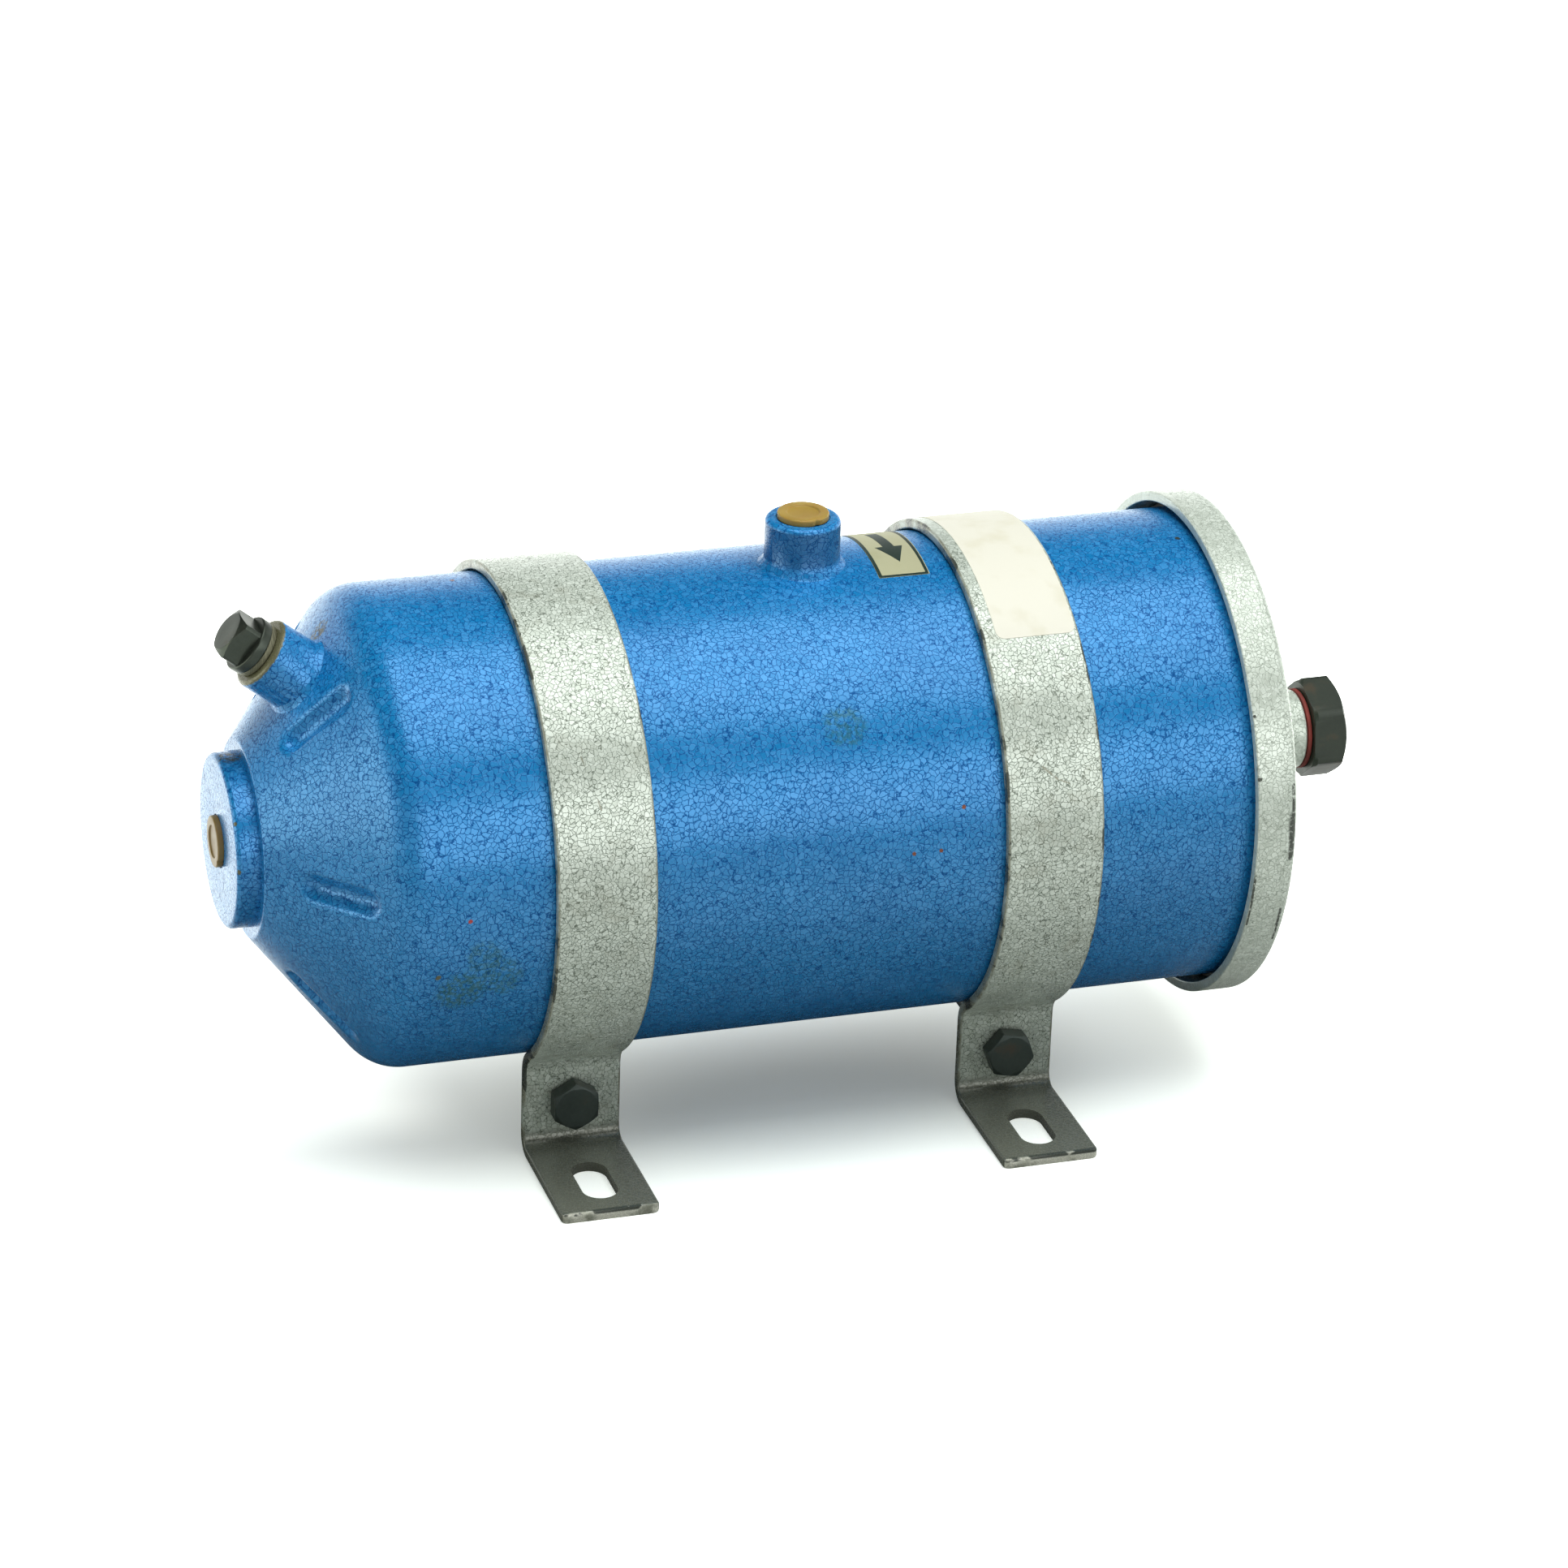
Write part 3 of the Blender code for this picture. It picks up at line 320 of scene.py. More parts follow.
def drill(piece, *cutters, sharp=32):
    """Takes the cutters' shapes out of the piece with Booleans, and leaves a plain mesh."""
    for cutter in cutters:
        hole = piece.modifiers.new("drill", "BOOLEAN")
        hole.solver, hole.object = "MANIFOLD", cutter
    graph = bpy.context.evaluated_depsgraph_get()
    mesh = bpy.data.meshes.new_from_object(piece.evaluated_get(graph))
    piece.modifiers.clear()
    piece.data = mesh
    for cutter in cutters:
        bpy.data.objects.remove(cutter)
    shade(mesh, sharp)
    return piece


def fit(piece, body, nodes, look):
    """Gives a piece its finish, its body, and the solids that it stands for."""
    piece.data.materials.clear()
    piece.data.materials.append(look)
    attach(piece, body)
    if nodes:
        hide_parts(*nodes)
    print(f"{piece.name}: {len(piece.data.vertices)} points on {body}")
    return piece


# %% Profiles
def rounded(corners, radii, steps=6):
    """A profile with rounded inner corners: each is cut back by r / tan(half its angle) along both runs,
    and an arc about the point at r / sin(half its angle) on its bisector joins the cuts."""
    corners = np.array(corners, float)
    points = [corners[0]]
    for before, at, after, radius in zip(corners[:-2], corners[1:-1], corners[2:], radii):
        if not radius:
            points.append(at)
            continue
        back, ahead = before - at, after - at
        back, ahead = back / np.linalg.norm(back), ahead / np.linalg.norm(ahead)
        half = math.acos(np.clip(back @ ahead, -1, 1)) / 2
        middle = (back + ahead) / np.linalg.norm(back + ahead)
        centre = at + middle * radius / math.sin(half)
        first, last = at + back * radius / math.tan(half) - centre, at + ahead * radius / math.tan(half) - centre
        sweep = math.pi - 2 * half
        share = np.linspace(0, 1, steps + 1)[:, None]
        points += list(centre + (np.sin((1 - share) * sweep) * first + np.sin(share * sweep) * last) / math.sin(sweep))
    return np.array([*points, corners[-1]])


def finer(path, spacing):
    """The same path with added points, so that no run is longer than spacing (one value, or one each)."""
    runs = np.linalg.norm(np.diff(path, axis=0), axis=1)
    counts = np.maximum(np.ceil(runs / spacing), 1).astype(int)
    stops = np.concatenate([run + np.arange(count) / count for run, count in enumerate(counts)] + [[len(counts)]])
    return np.stack([np.interp(stops, np.arange(len(path)), path[:, k]) for k in range(path.shape[1])], -1)


def placed(axis, x, y, z):
    """Points given along an axis's own three directions, in the model's frame."""
    origin, right, side, along = axis
    return origin + x[..., None] * right + y[..., None] * side + z[..., None] * along


def around(steps):
    """Equal angles round a full turn."""
    return np.arange(steps) * (2 * math.pi / steps)


def turned(axis, radius, height, steps=96):
    """A turned surface: x = r cos t, y = r sin t, z = h. Radius and height have a row for each point of
    the profile, and one column for all angles or a column for each angle."""
    t = around(steps)
    radius, height = radius + 0 * t, height + 0 * t
    return placed(axis, radius * np.cos(t), radius * np.sin(t), height)


def lathe(axis, profile, steps=96):
    """A turned surface from (radius, height) pairs."""
    profile = np.asarray(profile, float)
    return turned(axis, profile[:, :1], profile[:, 1:], steps)


def rows_of(rows, steps):
    """Radius and height arrays from rows whose entries are a number or one value for each angle."""
    radius = np.stack([np.broadcast_to(row[0], steps) for row in rows])
    height = np.stack([np.broadcast_to(row[1], steps) for row in rows])
    return radius.astype(float), height.astype(float)


# %% Axes and stations
def axis_at(origin, right, side, along):
    """An origin and three directions as arrays."""
    return tuple(np.array(value, float) for value in (origin, right, side, along))


def span(name):
    """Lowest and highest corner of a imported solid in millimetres."""
    low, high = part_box(name)
    return np.array(low) * 1000, np.array(high) * 1000


def reach(name):
    """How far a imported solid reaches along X, from and to."""
    low, high = span(name)
    return low[0], high[0]


AXIS_HEIGHT = joints["cover_bolt_turn"]["pos_m"][2] * 1000
main_axis = axis_at((0, 0, AXIS_HEIGHT), (0, 0, 1), (0, -1, 0), (1, 0, 0))
small_end, open_end = reach("canister_shell")
outlet_face, spigot_end = reach("outlet_boss")
outlet_axis = axis_at((outlet_face, 0, AXIS_HEIGHT), (0, 0, 1), (0, 1, 0), (-1, 0, 0))
inlet_station = sum(reach("inlet_boss")) / 2
inlet_top = span("inlet_boss")[1][2] - AXIS_HEIGHT
inlet_axis = axis_at((inlet_station, 0, AXIS_HEIGHT), (1, 0, 0), (0, 1, 0), (0, 0, 1))
vent_foot = np.array(joints["vent_plug_turn"]["pos_m"]) * 1000
vent_out = np.array(joints["vent_plug_turn"]["axis"])
vent_axis = axis_at(vent_foot, (vent_out[2], 0, -vent_out[0]), (0, 1, 0), vent_out)
print("axis height", round(AXIS_HEIGHT, 2), "inlet at", round(inlet_station, 2), "vent at", vent_foot.round(2))

# %% [markdown]
# ## Blue and silver hammered enamel
#
# The shell is sprayed with hammer-finish enamel: aluminium flake pulls into small bright cells with darker
# veins between them, which also shine less. A Voronoi texture's distance to its cell edges gives the veins,
# its cell colours vary the cells, and the same distance drives the bump. Object coordinates keep the cells
# the same size on every piece, so bosses and barrel look sprayed together.

# %% Hammered enamel
MM = 0.001
BLUE_CELLS, SILVER_CELLS, CELL_SWAY, CELL_DEPTH = 640.0, 780.0, 2.2, 0.02
VEIN_ROUGH, CELL_ROUGH, VEIN_SHINE, CELL_SHINE = 0.38, 0.24, 0.10, 0.62
CLOUD_AMOUNT, FLAKE_METAL = 0.13, 0.20


def hammered(tree, place, cells):
    """(1 in a cell and 0 on its veins, a shade for each cell, height) of a pattern with so many cells a metre."""
    sway = node(tree, "ShaderNodeTexNoise", {"Vector": place, "Scale": 420.0, "Detail": 2.0})
    shift = vectors(tree, "SUBTRACT", sway.outputs["Color"], (0.5, 0.5, 0.5))
    bent = vectors(tree, "ADD", place, vectors(tree, "SCALE", shift, CELL_SWAY * MM))
    inputs = {"Vector": bent, "Scale": cells, "Randomness": 1.0}
    edge = node(tree, "ShaderNodeTexVoronoi", inputs, feature="DISTANCE_TO_EDGE").outputs["Distance"]
    cell = node(tree, "ShaderNodeTexVoronoi", inputs, feature="F1").outputs["Color"]
    tint = node(tree, "ShaderNodeSeparateColor", {0: cell}).outputs[0]
    return ease(tree, edge, -0.01, 0.11), tint, ease(tree, edge, 0.0, 0.14)


def blot(tree, place, at, radius, ragged):
    """1 within a ragged blot about a point given in millimetres, 0 outside it."""
    centre = tuple(value * MM for value in at)
    distance = vectors(tree, "DISTANCE", place, centre)
    distance = calc(tree, "MULTIPLY_ADD", ragged, radius * MM, distance)
    return ease(tree, distance, 1.55 * radius * MM, 1.15 * radius * MM)


def scratch(tree, place, first, last, width):
    """1 on a thin line between two points: the distance from a point to the nearest place on the line."""
    first, last = np.array(first) * MM, np.array(last) * MM
    run = last - first
    offset = vectors(tree, "SUBTRACT", place, tuple(first))
    share = vectors(tree, "DOT_PRODUCT", offset, tuple(run / (run @ run)))
    share = calc(tree, "MULTIPLY_ADD", share, 1.0, 0.0, clamp=True)
    distance = vectors(tree, "DISTANCE", offset, vectors(tree, "SCALE", tuple(run), share))
    return ease(tree, distance, width * MM, 0.4 * width * MM)


def new_look(name):
    """A material with its Principled shader, and the Object coordinates of what wears it."""
    look = bpy.data.materials.new(name)
    look.use_nodes = True
    shader = look.node_tree.nodes["Principled BSDF"]
    place = node(look.node_tree, "ShaderNodeTexCoord").outputs["Object"]
    return look, look.node_tree, shader, place


def wire(tree, shader, base, roughness, height, depth):
    """Links colour, roughness and bump into the shader; depth is the bump's height in millimetres."""
    bump = node(tree, "ShaderNodeBump", {"Height": height, "Distance": depth * MM})
    tree.links.new(base, shader.inputs["Base Color"])
    tree.links.new(roughness, shader.inputs["Roughness"])
    tree.links.new(bump.outputs["Normal"], shader.inputs["Normal"])


def enamel(name, vein, dull, bright, blots=(), smudges=(), scratches=(), worn=None, cells=BLUE_CELLS):
    """Hammered enamel with its vein, dull-cell and bright-cell colours. Blots are solid, smudges broken and
    faint, scratches thin lines, and worn adds what is particular to one piece."""
    look, tree, shader, place = new_look(name)
    share, tint, height = hammered(tree, place, cells)
    base = mixed(tree, share, vein, mixed(tree, tint, dull, bright))
    cloud = noise(tree, place, 36.0, 3.0)
    base = mixed(tree, times(tree, ease(tree, cloud, 0.40, 0.70), CLOUD_AMOUNT), base, vein)
    ragged = noise(tree, place, 800.0, 4.0)
    for at, radius, stain, strength in smudges:
        share_here = blot(tree, place, at, radius, cloud)
        broken = times(tree, ease(tree, ragged, 0.36, 0.62), strength)
        base = mixed(tree, times(tree, share_here, broken), base, stain)
    for at, radius, stain in blots:
        base = mixed(tree, blot(tree, place, at, radius, ragged), base, stain)
    for first, last, width, stain in scratches:
        line = times(tree, scratch(tree, place, first, last, width), ease(tree, ragged, 0.3, 0.5))
        base = mixed(tree, line, base, stain)
    if worn:
        base = worn(tree, place, base, ragged)
    rough = calc(tree, "MULTIPLY_ADD", share, CELL_ROUGH - VEIN_ROUGH, VEIN_ROUGH)
    wire(tree, shader, base, rough, height, CELL_DEPTH)
    shine = calc(tree, "MULTIPLY_ADD", share, CELL_SHINE - VEIN_SHINE, VEIN_SHINE)
    tree.links.new(shine, shader.inputs["Specular IOR Level"])
    shader.inputs["Metallic"].default_value = FLAKE_METAL
    return look


RED_SPECK, RUST, OLIVE_DIRT = colour(170, 60, 55), colour(120, 70, 50), colour(84, 88, 66)
DARK_DIRT, DARK_DOT, GREEN_STAIN = colour(58, 64, 50), colour(50, 60, 60), colour(40, 96, 92)
SHELL_BLOTS = [
    ((-138.4, -66.5, 69.2), 0.8, RED_SPECK), ((-113.9, -70.0, 92.8), 0.7, RED_SPECK),
    ((-98.7, 11.7, 160.0), 0.8, RUST), ((16.0, -69.6, 98.7), 0.7, RUST),
    ((24.0, -69.6, 98.8), 0.7, RUST), ((31.1, -67.2, 110.7), 0.7, RUST),
    ((115.0, -7.7, 160.6), 0.9, DARK_DOT), ((-122.6, -68.3, 75.5), 1.0, OLIVE_DIRT),
    ((-169.6, -20.4, 106.0), 0.8, OLIVE_DIRT), ((-169.6, -25.0, 92.9), 0.9, OLIVE_DIRT),
]
SHELL_SMUDGES = [
    ((-116.0, -66.5, 69.0), 9.0, GREEN_STAIN, 0.75), ((-104.0, -67.5, 73.0), 7.0, GREEN_STAIN, 0.60),
    ((-110.0, -69.3, 80.8), 6.0, GREEN_STAIN, 0.50), ((-139.0, 7.0, 150.5), 4.4, DARK_DIRT, 1.0),
    ((-152.0, -46.0, 78.0), 2.0, OLIVE_DIRT, 0.55), ((-1.7, -55.1, 134.2), 7.0, GREEN_STAIN, 0.60),
    ((-166.5, 2.0, 116.3), 4.5, DARK_DIRT, 0.85),
]
BLUE = colour(0, 72, 134), colour(12, 127, 190), colour(54, 145, 208)
blue_enamel = enamel("blue_enamel", *BLUE, SHELL_BLOTS, SHELL_SMUDGES)
print(len(blue_enamel.node_tree.nodes), "nodes in the blue enamel")

# %% [markdown]
# ## The shell
#
# The shell is a tube whose end was spun down to a cone and pressed with six flutes. Its section is one closed
# outline, outer skin out and inner skin back, turned about the axis. The flutes move both skins inward, by
# a depth that falls off across a round-ended lane, so the wall keeps its thickness as pressed steel does.

# %% Shell outline
BODY_RADIUS = 70.0
WALL = 3.0
TIP_RADIUS = 28.9
CONE_LENGTH = 32.4
TIP_HOLE = 20.3
corner = small_end + CONE_LENGTH
cone_angle = math.atan2(BODY_RADIUS - TIP_RADIUS, CONE_LENGTH)
inner_corner = corner + WALL * math.tan(cone_angle / 2)
inner_tip = TIP_RADIUS - WALL * math.tan((math.pi / 2 - cone_angle) / 2)
outline = rounded(
    [
        (TIP_HOLE, small_end), (TIP_RADIUS, small_end), (BODY_RADIUS, corner), (BODY_RADIUS, open_end),
        (BODY_RADIUS - WALL, open_end), (BODY_RADIUS - WALL, inner_corner), (inner_tip, small_end + WALL),
        (TIP_HOLE, small_end + WALL),
    ],
    [1.5, 15.0, 0.6, 0.6, 12.0, 0.6],
    steps=10,
)
middles = (outline[1:, 1] + outline[:-1, 1]) / 2
outline = finer(outline, np.where(middles < corner + 15, 1.3, 24.0))
print(len(outline), "points round the shell's section")

# %% Flutes
FLUTES = 6
FLUTE_TURN = math.radians(25.4)
FLUTE_HALF_WIDTH = 4.6
FLUTE_STRAIGHT = 19.0
FLUTE_SETBACK = 27.2
FLUTE_DEPTH = 3.0
LIP_HEIGHT, LIP_MIDDLE, LIP_SPREAD = 0.06, 1.25, 0.22
SHELL_STEPS = 480


def fluted(radius, height):
    """Moves points of the cone inward: q is the distance to a flute's middle line over its half width, and the
    depth is 1 - q squared to the power 1.5 inside q = 1, with a low rolled lip just outside it."""
    t = around(SHELL_STEPS)
    pitch = 2 * math.pi / FLUTES
    turn = (t - FLUTE_TURN + pitch / 2) % pitch - pitch / 2
    across = radius * turn
    along = (radius - TIP_RADIUS) * math.sin(cone_angle) + (height - small_end) * math.cos(cone_angle) - FLUTE_SETBACK
    beyond = np.maximum(np.abs(along) - FLUTE_STRAIGHT / 2, 0)
    q = np.hypot(across, beyond) / FLUTE_HALF_WIDTH
    depth = FLUTE_DEPTH * (1 - np.minimum(q, 1) ** 2) ** 1.5
    depth = depth - LIP_HEIGHT * np.exp(-(((q - LIP_MIDDLE) / LIP_SPREAD) ** 2))
    return radius - depth * math.cos(cone_angle), height + depth * math.sin(cone_angle)


radius, height = fluted(outline[:, :1], outline[:, 1:])
shell = build("shell_blue", (turned(main_axis, radius, height, SHELL_STEPS), True), sharp=40)


def rod(axis, radius, low, high, steps=64):
    """A plain rod along an axis, used to drill a hole."""
    return build("drill_rod", (lathe(axis, [(radius, low), (radius, high)], steps), False))


PORT_RADIUS, VENT_BORE = 5.9, 6.3
drill(shell, rod(inlet_axis, PORT_RADIUS, 60, 74), rod(vent_axis, VENT_BORE, -8, 2), sharp=40)
fit(shell, "canister", ["canister_shell"], blue_enamel)

# %% [markdown]
# ## Bosses and their welds
#
# Three turned bosses are welded to the shell. The two round ones stand on a curved surface, so the foot of
# each has to follow it: on the barrel the height at a distance y from the middle is the root of R squared
# less y squared, and on the cone it drops by y squared over twice the radius of curvature. A welder's bead
# is never even, so a few sine waves make it ripple.

# %% Welded bosses
RECESS_RADIUS, RECESS_DEPTH = 7.8, 0.5
BOSS_EDGE = 1.6
INLET_RADIUS, INLET_LEG = 11.0, 2.0
VENT_RADIUS, VENT_LEG, VENT_TOP = 10.7, 1.6, 13.8


def ripple(t, beads, seed):
    """The uneven height of a bead: one fine wave for its ripples and three slow ones for the hand."""
    phases = np.random.default_rng(seed).uniform(0, 2 * math.pi, 4)
    waves = 0.03 * np.sin(beads * t + phases[0])
    return 1 + waves + sum(0.06 * np.sin(k * t + phases[k]) for k in (1, 2, 3))


def welded_boss(name, axis, mouth, boss_radius, leg, surface, seed, steps=160):
    """A ring of rows from the foot of its bore, over its mouth and rounded edge, down to the bead and back.
    The bead's height over the surface falls from leg to zero as (1 - s) to the power 1.4 going outwards."""
    t = around(steps)
    top = mouth[-1][1]
    edge = rounded([(boss_radius - 3, top), (boss_radius, top), (boss_radius, top - 6)], [BOSS_EDGE], 8)[1:-1]
    share = np.linspace(0, 1, 9)
    bead = leg * ripple(t, 26, seed)
    spread = leg * ripple(t + 1.0, 26, seed + 1)
    rows = [(mouth[0][0], surface(mouth[0][0], t) - 0.5)]
    rows += [tuple(point) for point in mouth] + [tuple(point) for point in edge]
    for s in share:
        out = boss_radius + spread * s
        rows.append((out, surface(out, t) + bead * (1 - s) ** 1.4 - 0.25 * s))
    rows.append((boss_radius + leg, surface(boss_radius + leg, t) - 0.8))
    return build(name, (turned(axis, *rows_of(rows, steps), steps), True), sharp=38)


def on_barrel(radius, t):
    """Height of the barrel over its axis, at a distance radius from the boss's middle."""
    return np.sqrt(BODY_RADIUS**2 - (radius * np.sin(t)) ** 2)


cone_bend = (math.hypot(vent_foot[1], vent_foot[2] - AXIS_HEIGHT)) / math.cos(cone_angle)


def on_cone(radius, t):
    """Height of the cone over the plane that touches it at the vent."""
    return -((radius * np.sin(t)) ** 2) / (2 * cone_bend)


inlet_mouth = [
    (PORT_RADIUS, inlet_top - RECESS_DEPTH - 0.4), (PORT_RADIUS + 0.4, inlet_top - RECESS_DEPTH),
    (RECESS_RADIUS, inlet_top - RECESS_DEPTH), (RECESS_RADIUS, inlet_top - 0.15), (RECESS_RADIUS + 0.15, inlet_top),
]


def inlet_painted_shade(tree, place, base, ragged):
    """Painted shade: a darker blue on the upright side of the boss, between its weld and its rounded edge."""
    height = node(tree, "ShaderNodeSeparateXYZ", {0: place}).outputs["Z"]
    weld, edge = (AXIS_HEIGHT + BODY_RADIUS) * MM, (AXIS_HEIGHT + inlet_top - BOSS_EDGE) * MM
    side = times(tree, ease(tree, height, weld + MM, weld + 3 * MM), ease(tree, height, edge + MM, edge))
    return mixed(tree, times(tree, side, 0.5), base, colour(4, 56, 98))


# The inlet boss's enamel carries painted shade on its upright side.
inlet_shaded_enamel = enamel("inlet_shaded_enamel", *BLUE, worn=inlet_painted_shade)
inlet_boss = welded_boss("inlet_boss_blue", inlet_axis, inlet_mouth, INLET_RADIUS, INLET_LEG, on_barrel, 3)
fit(inlet_boss, "canister", ["inlet_boss"], inlet_shaded_enamel)


def vent_wear(tree, place, base, ragged):
    """Bare olive metal on the boss's end: how far a point stands out along the vent's axis decides."""
    along = vectors(tree, "DOT_PRODUCT", vectors(tree, "SUBTRACT", place, tuple(vent_foot * MM)), tuple(vent_out))
    along = calc(tree, "MULTIPLY_ADD", ragged, 0.9 * MM, along)
    return mixed(tree, ease(tree, along, (VENT_TOP - 0.7) * MM, (VENT_TOP - 0.3) * MM), base, colour(104, 104, 78))


vent_enamel = enamel("vent_enamel", *BLUE, smudges=SHELL_SMUDGES[3:4], worn=vent_wear)
vent_mouth = [(VENT_BORE, VENT_TOP - 0.5), (VENT_BORE + 0.5, VENT_TOP)]
vent_boss = welded_boss("vent_boss_blue", vent_axis, vent_mouth, VENT_RADIUS, VENT_LEG, on_cone, 8)
fit(vent_boss, "canister", ["vent_boss"], vent_enamel)

# %% Outlet boss
OUTLET_RADIUS, OUTLET_SPIGOT, OUTLET_SOCKET = 25.4, 20.0, 13.3
tube_seat = spigot_end - 10.0
outlet_ring = rounded(
    [
        (OUTLET_SOCKET, tube_seat), (OUTLET_SOCKET, spigot_end), (OUTLET_SPIGOT, spigot_end),
        (OUTLET_SPIGOT, small_end + 0.2), (OUTLET_RADIUS, small_end + 0.2), (OUTLET_RADIUS, outlet_face),
        (RECESS_RADIUS, outlet_face), (RECESS_RADIUS, outlet_face + RECESS_DEPTH),
        (PORT_RADIUS, outlet_face + RECESS_DEPTH), (PORT_RADIUS, tube_seat),
    ],
    [0.3, 0.3, 0, 0, BOSS_EDGE, 0.15, 0, 0.3],
    steps=8,
)
outlet_boss = build("outlet_boss_blue", (lathe(main_axis, outlet_ring, 160), True), sharp=38)
fit(outlet_boss, "canister", ["outlet_boss"], blue_enamel)

# %% [markdown]
# ## The cover, its collar and the clamp bands
#
# The cover is a pressed lid whose dished middle rises in a smooth S to the collar that the bolt passes
# through. The bands are bent from flat bar. Each is a rounded rectangle carried along a path: foot, bend,
# flange, shoulder, and then round the barrel. Their enamel is the same hammer finish in silver, darker on
# top of the feet and chipped along the bar's edges.

# %% Silver enamel
BAND_STATIONS = [joints[end + "_clamp_bolt_turn"]["pos_m"][0] * 1000 for end in ("cone_end", "cover_end")]
BAND_WIDTH, BAND_THICKNESS, FOOT_TIP = 29.0, 3.0, 82.7
COVER_RADIUS, COVER_BORE, COVER_WALL = 75.0, 72.0, 3.0
SILVER = colour(104, 114, 102), colour(194, 205, 192), colour(218, 229, 217)
COVER_SILVER = colour(148, 158, 146), *SILVER[1:]
FOOT_GREY, EDGE_DIRT = colour(108, 112, 100), colour(138, 141, 124)
CHIP, BARE = colour(72, 78, 70), colour(232, 234, 218)


def band_wear(tree, place, base, ragged):
    """Dirt along both edges of a band, dark feet under about 6 mm, and chips on the tips of the feet."""
    x, y, z = node(tree, "ShaderNodeSeparateXYZ", {0: place}).outputs
    spots = noise(tree, place, 130.0, 5.0)
    base = mixed(tree, times(tree, ease(tree, spots, 0.52, 0.80), 0.30), base, colour(140, 140, 120))
    first, second = [calc(tree, "ABSOLUTE", calc(tree, "SUBTRACT", x, station * MM)) for station in BAND_STATIONS]
    away, side = calc(tree, "MINIMUM", first, second), BAND_WIDTH / 2
    edge = ease(tree, away, (side - 0.9) * MM, (side - 0.3) * MM)
    base = mixed(tree, times(tree, edge, ease(tree, spots, 0.28, 0.55)), base, EDGE_DIRT)
    nicks = times(tree, ease(tree, away, (side - 1.5) * MM, (side - 0.6) * MM), spots)
    base = mixed(tree, ease(tree, nicks, 0.56, 0.60), base, CHIP)
    low = times(tree, ease(tree, z, 8.5 * MM, 4.5 * MM), ease(tree, ragged, 0.05, 0.30))
    base = mixed(tree, low, base, FOOT_GREY)
    out = calc(tree, "ABSOLUTE", y)
    mottled = mixed(tree, ease(tree, spots, 0.36, 0.52), colour(150, 154, 138), BARE)
    base = mixed(tree, ease(tree, out, (FOOT_TIP - 0.7) * MM, (FOOT_TIP - 0.4) * MM), base, mottled)
    crest = ease(tree, out, (FOOT_TIP - 1.4) * MM, (FOOT_TIP - 0.7) * MM)
    crest = times(tree, crest, ease(tree, z, 1.7 * MM, 2.3 * MM), ease(tree, spots, 0.44, 0.50))
    return mixed(tree, crest, base, CHIP)


def around_rim(x, angle):
    """A point on the cover's side, this many degrees from its top towards the front."""
    turn = math.radians(angle)
    return x, -COVER_RADIUS * math.sin(turn), AXIS_HEIGHT + COVER_RADIUS * math.cos(turn)


RIM_CHIPS = [(around_rim(x, angle), radius, CHIP) for x, angle, radius in ((119.1, 60, 0.6), (119.2, 74, 0.8))]
RIM_FLAKES = [
    (around_rim(x, first), around_rim(x, last), width, CHIP)
    for x, first, last, width in (
        (129.5, 76, 83, 0.8), (129.2, 83, 88, 1.5), (129.3, 88, 93, 1.3), (128.7, 107, 112, 0.6),
        (128.9, 112, 117, 0.5), (119.0, 97, 104, 0.5), (119.1, 104, 111, 0.4),
    )
]
BAND_SCRATCHES = [
    ((-79.8, -59.0, 134.6), (-75.8, -66.8, 121.5), 0.35, EDGE_DIRT),
    ((54.3, -67.2, 120.6), (58.5, -68.6, 117.0), 0.45, EDGE_DIRT),
    ((58.5, -68.6, 117.0), (61.9, -69.2, 115.6), 0.30, EDGE_DIRT),
]
silver_enamel = enamel("silver_enamel", *COVER_SILVER, RIM_CHIPS, scratches=RIM_FLAKES, cells=SILVER_CELLS)
band_enamel = enamel("band_enamel", *SILVER, scratches=BAND_SCRATCHES, worn=band_wear, cells=SILVER_CELLS)
print(len(band_enamel.node_tree.nodes), "nodes in the bands' enamel")

# %% Cover
rim, dome_top = reach("cover")
DOME_INNER, DOME_OUTER, DOME_HEIGHT = 20.7, 62.0, 13.7
COVER_HOLE = 12.1
cover_face = dome_top - DOME_HEIGHT


def dished(shift):
    """The dome from its raised middle to its flat rim: its height falls as half of 1 + cos(pi s)."""
    s = np.linspace(0, 1, 25)
    fall = DOME_HEIGHT * (1 + np.cos(math.pi * s)) / 2
    return np.stack([DOME_INNER + (DOME_OUTER - DOME_INNER) * s, cover_face + fall - shift], -1)


skirt = rounded(
    [
        (DOME_OUTER + 1, cover_face), (COVER_RADIUS, cover_face), (COVER_RADIUS, rim), (COVER_BORE, rim),
        (COVER_BORE, cover_face - COVER_WALL), (DOME_OUTER + 1, cover_face - COVER_WALL),
    ],
    [2.0, 0.5, 0.5, 1.0],
    steps=7,
)
lid = np.concatenate([
    [(COVER_HOLE, dome_top)], dished(0), skirt, dished(COVER_WALL)[::-1], [(COVER_HOLE, dome_top - COVER_WALL)],
])
cover = build("cover_silver", (lathe(main_axis, lid, 240), True), sharp=38)
fit(cover, "cover", ["cover"], silver_enamel)

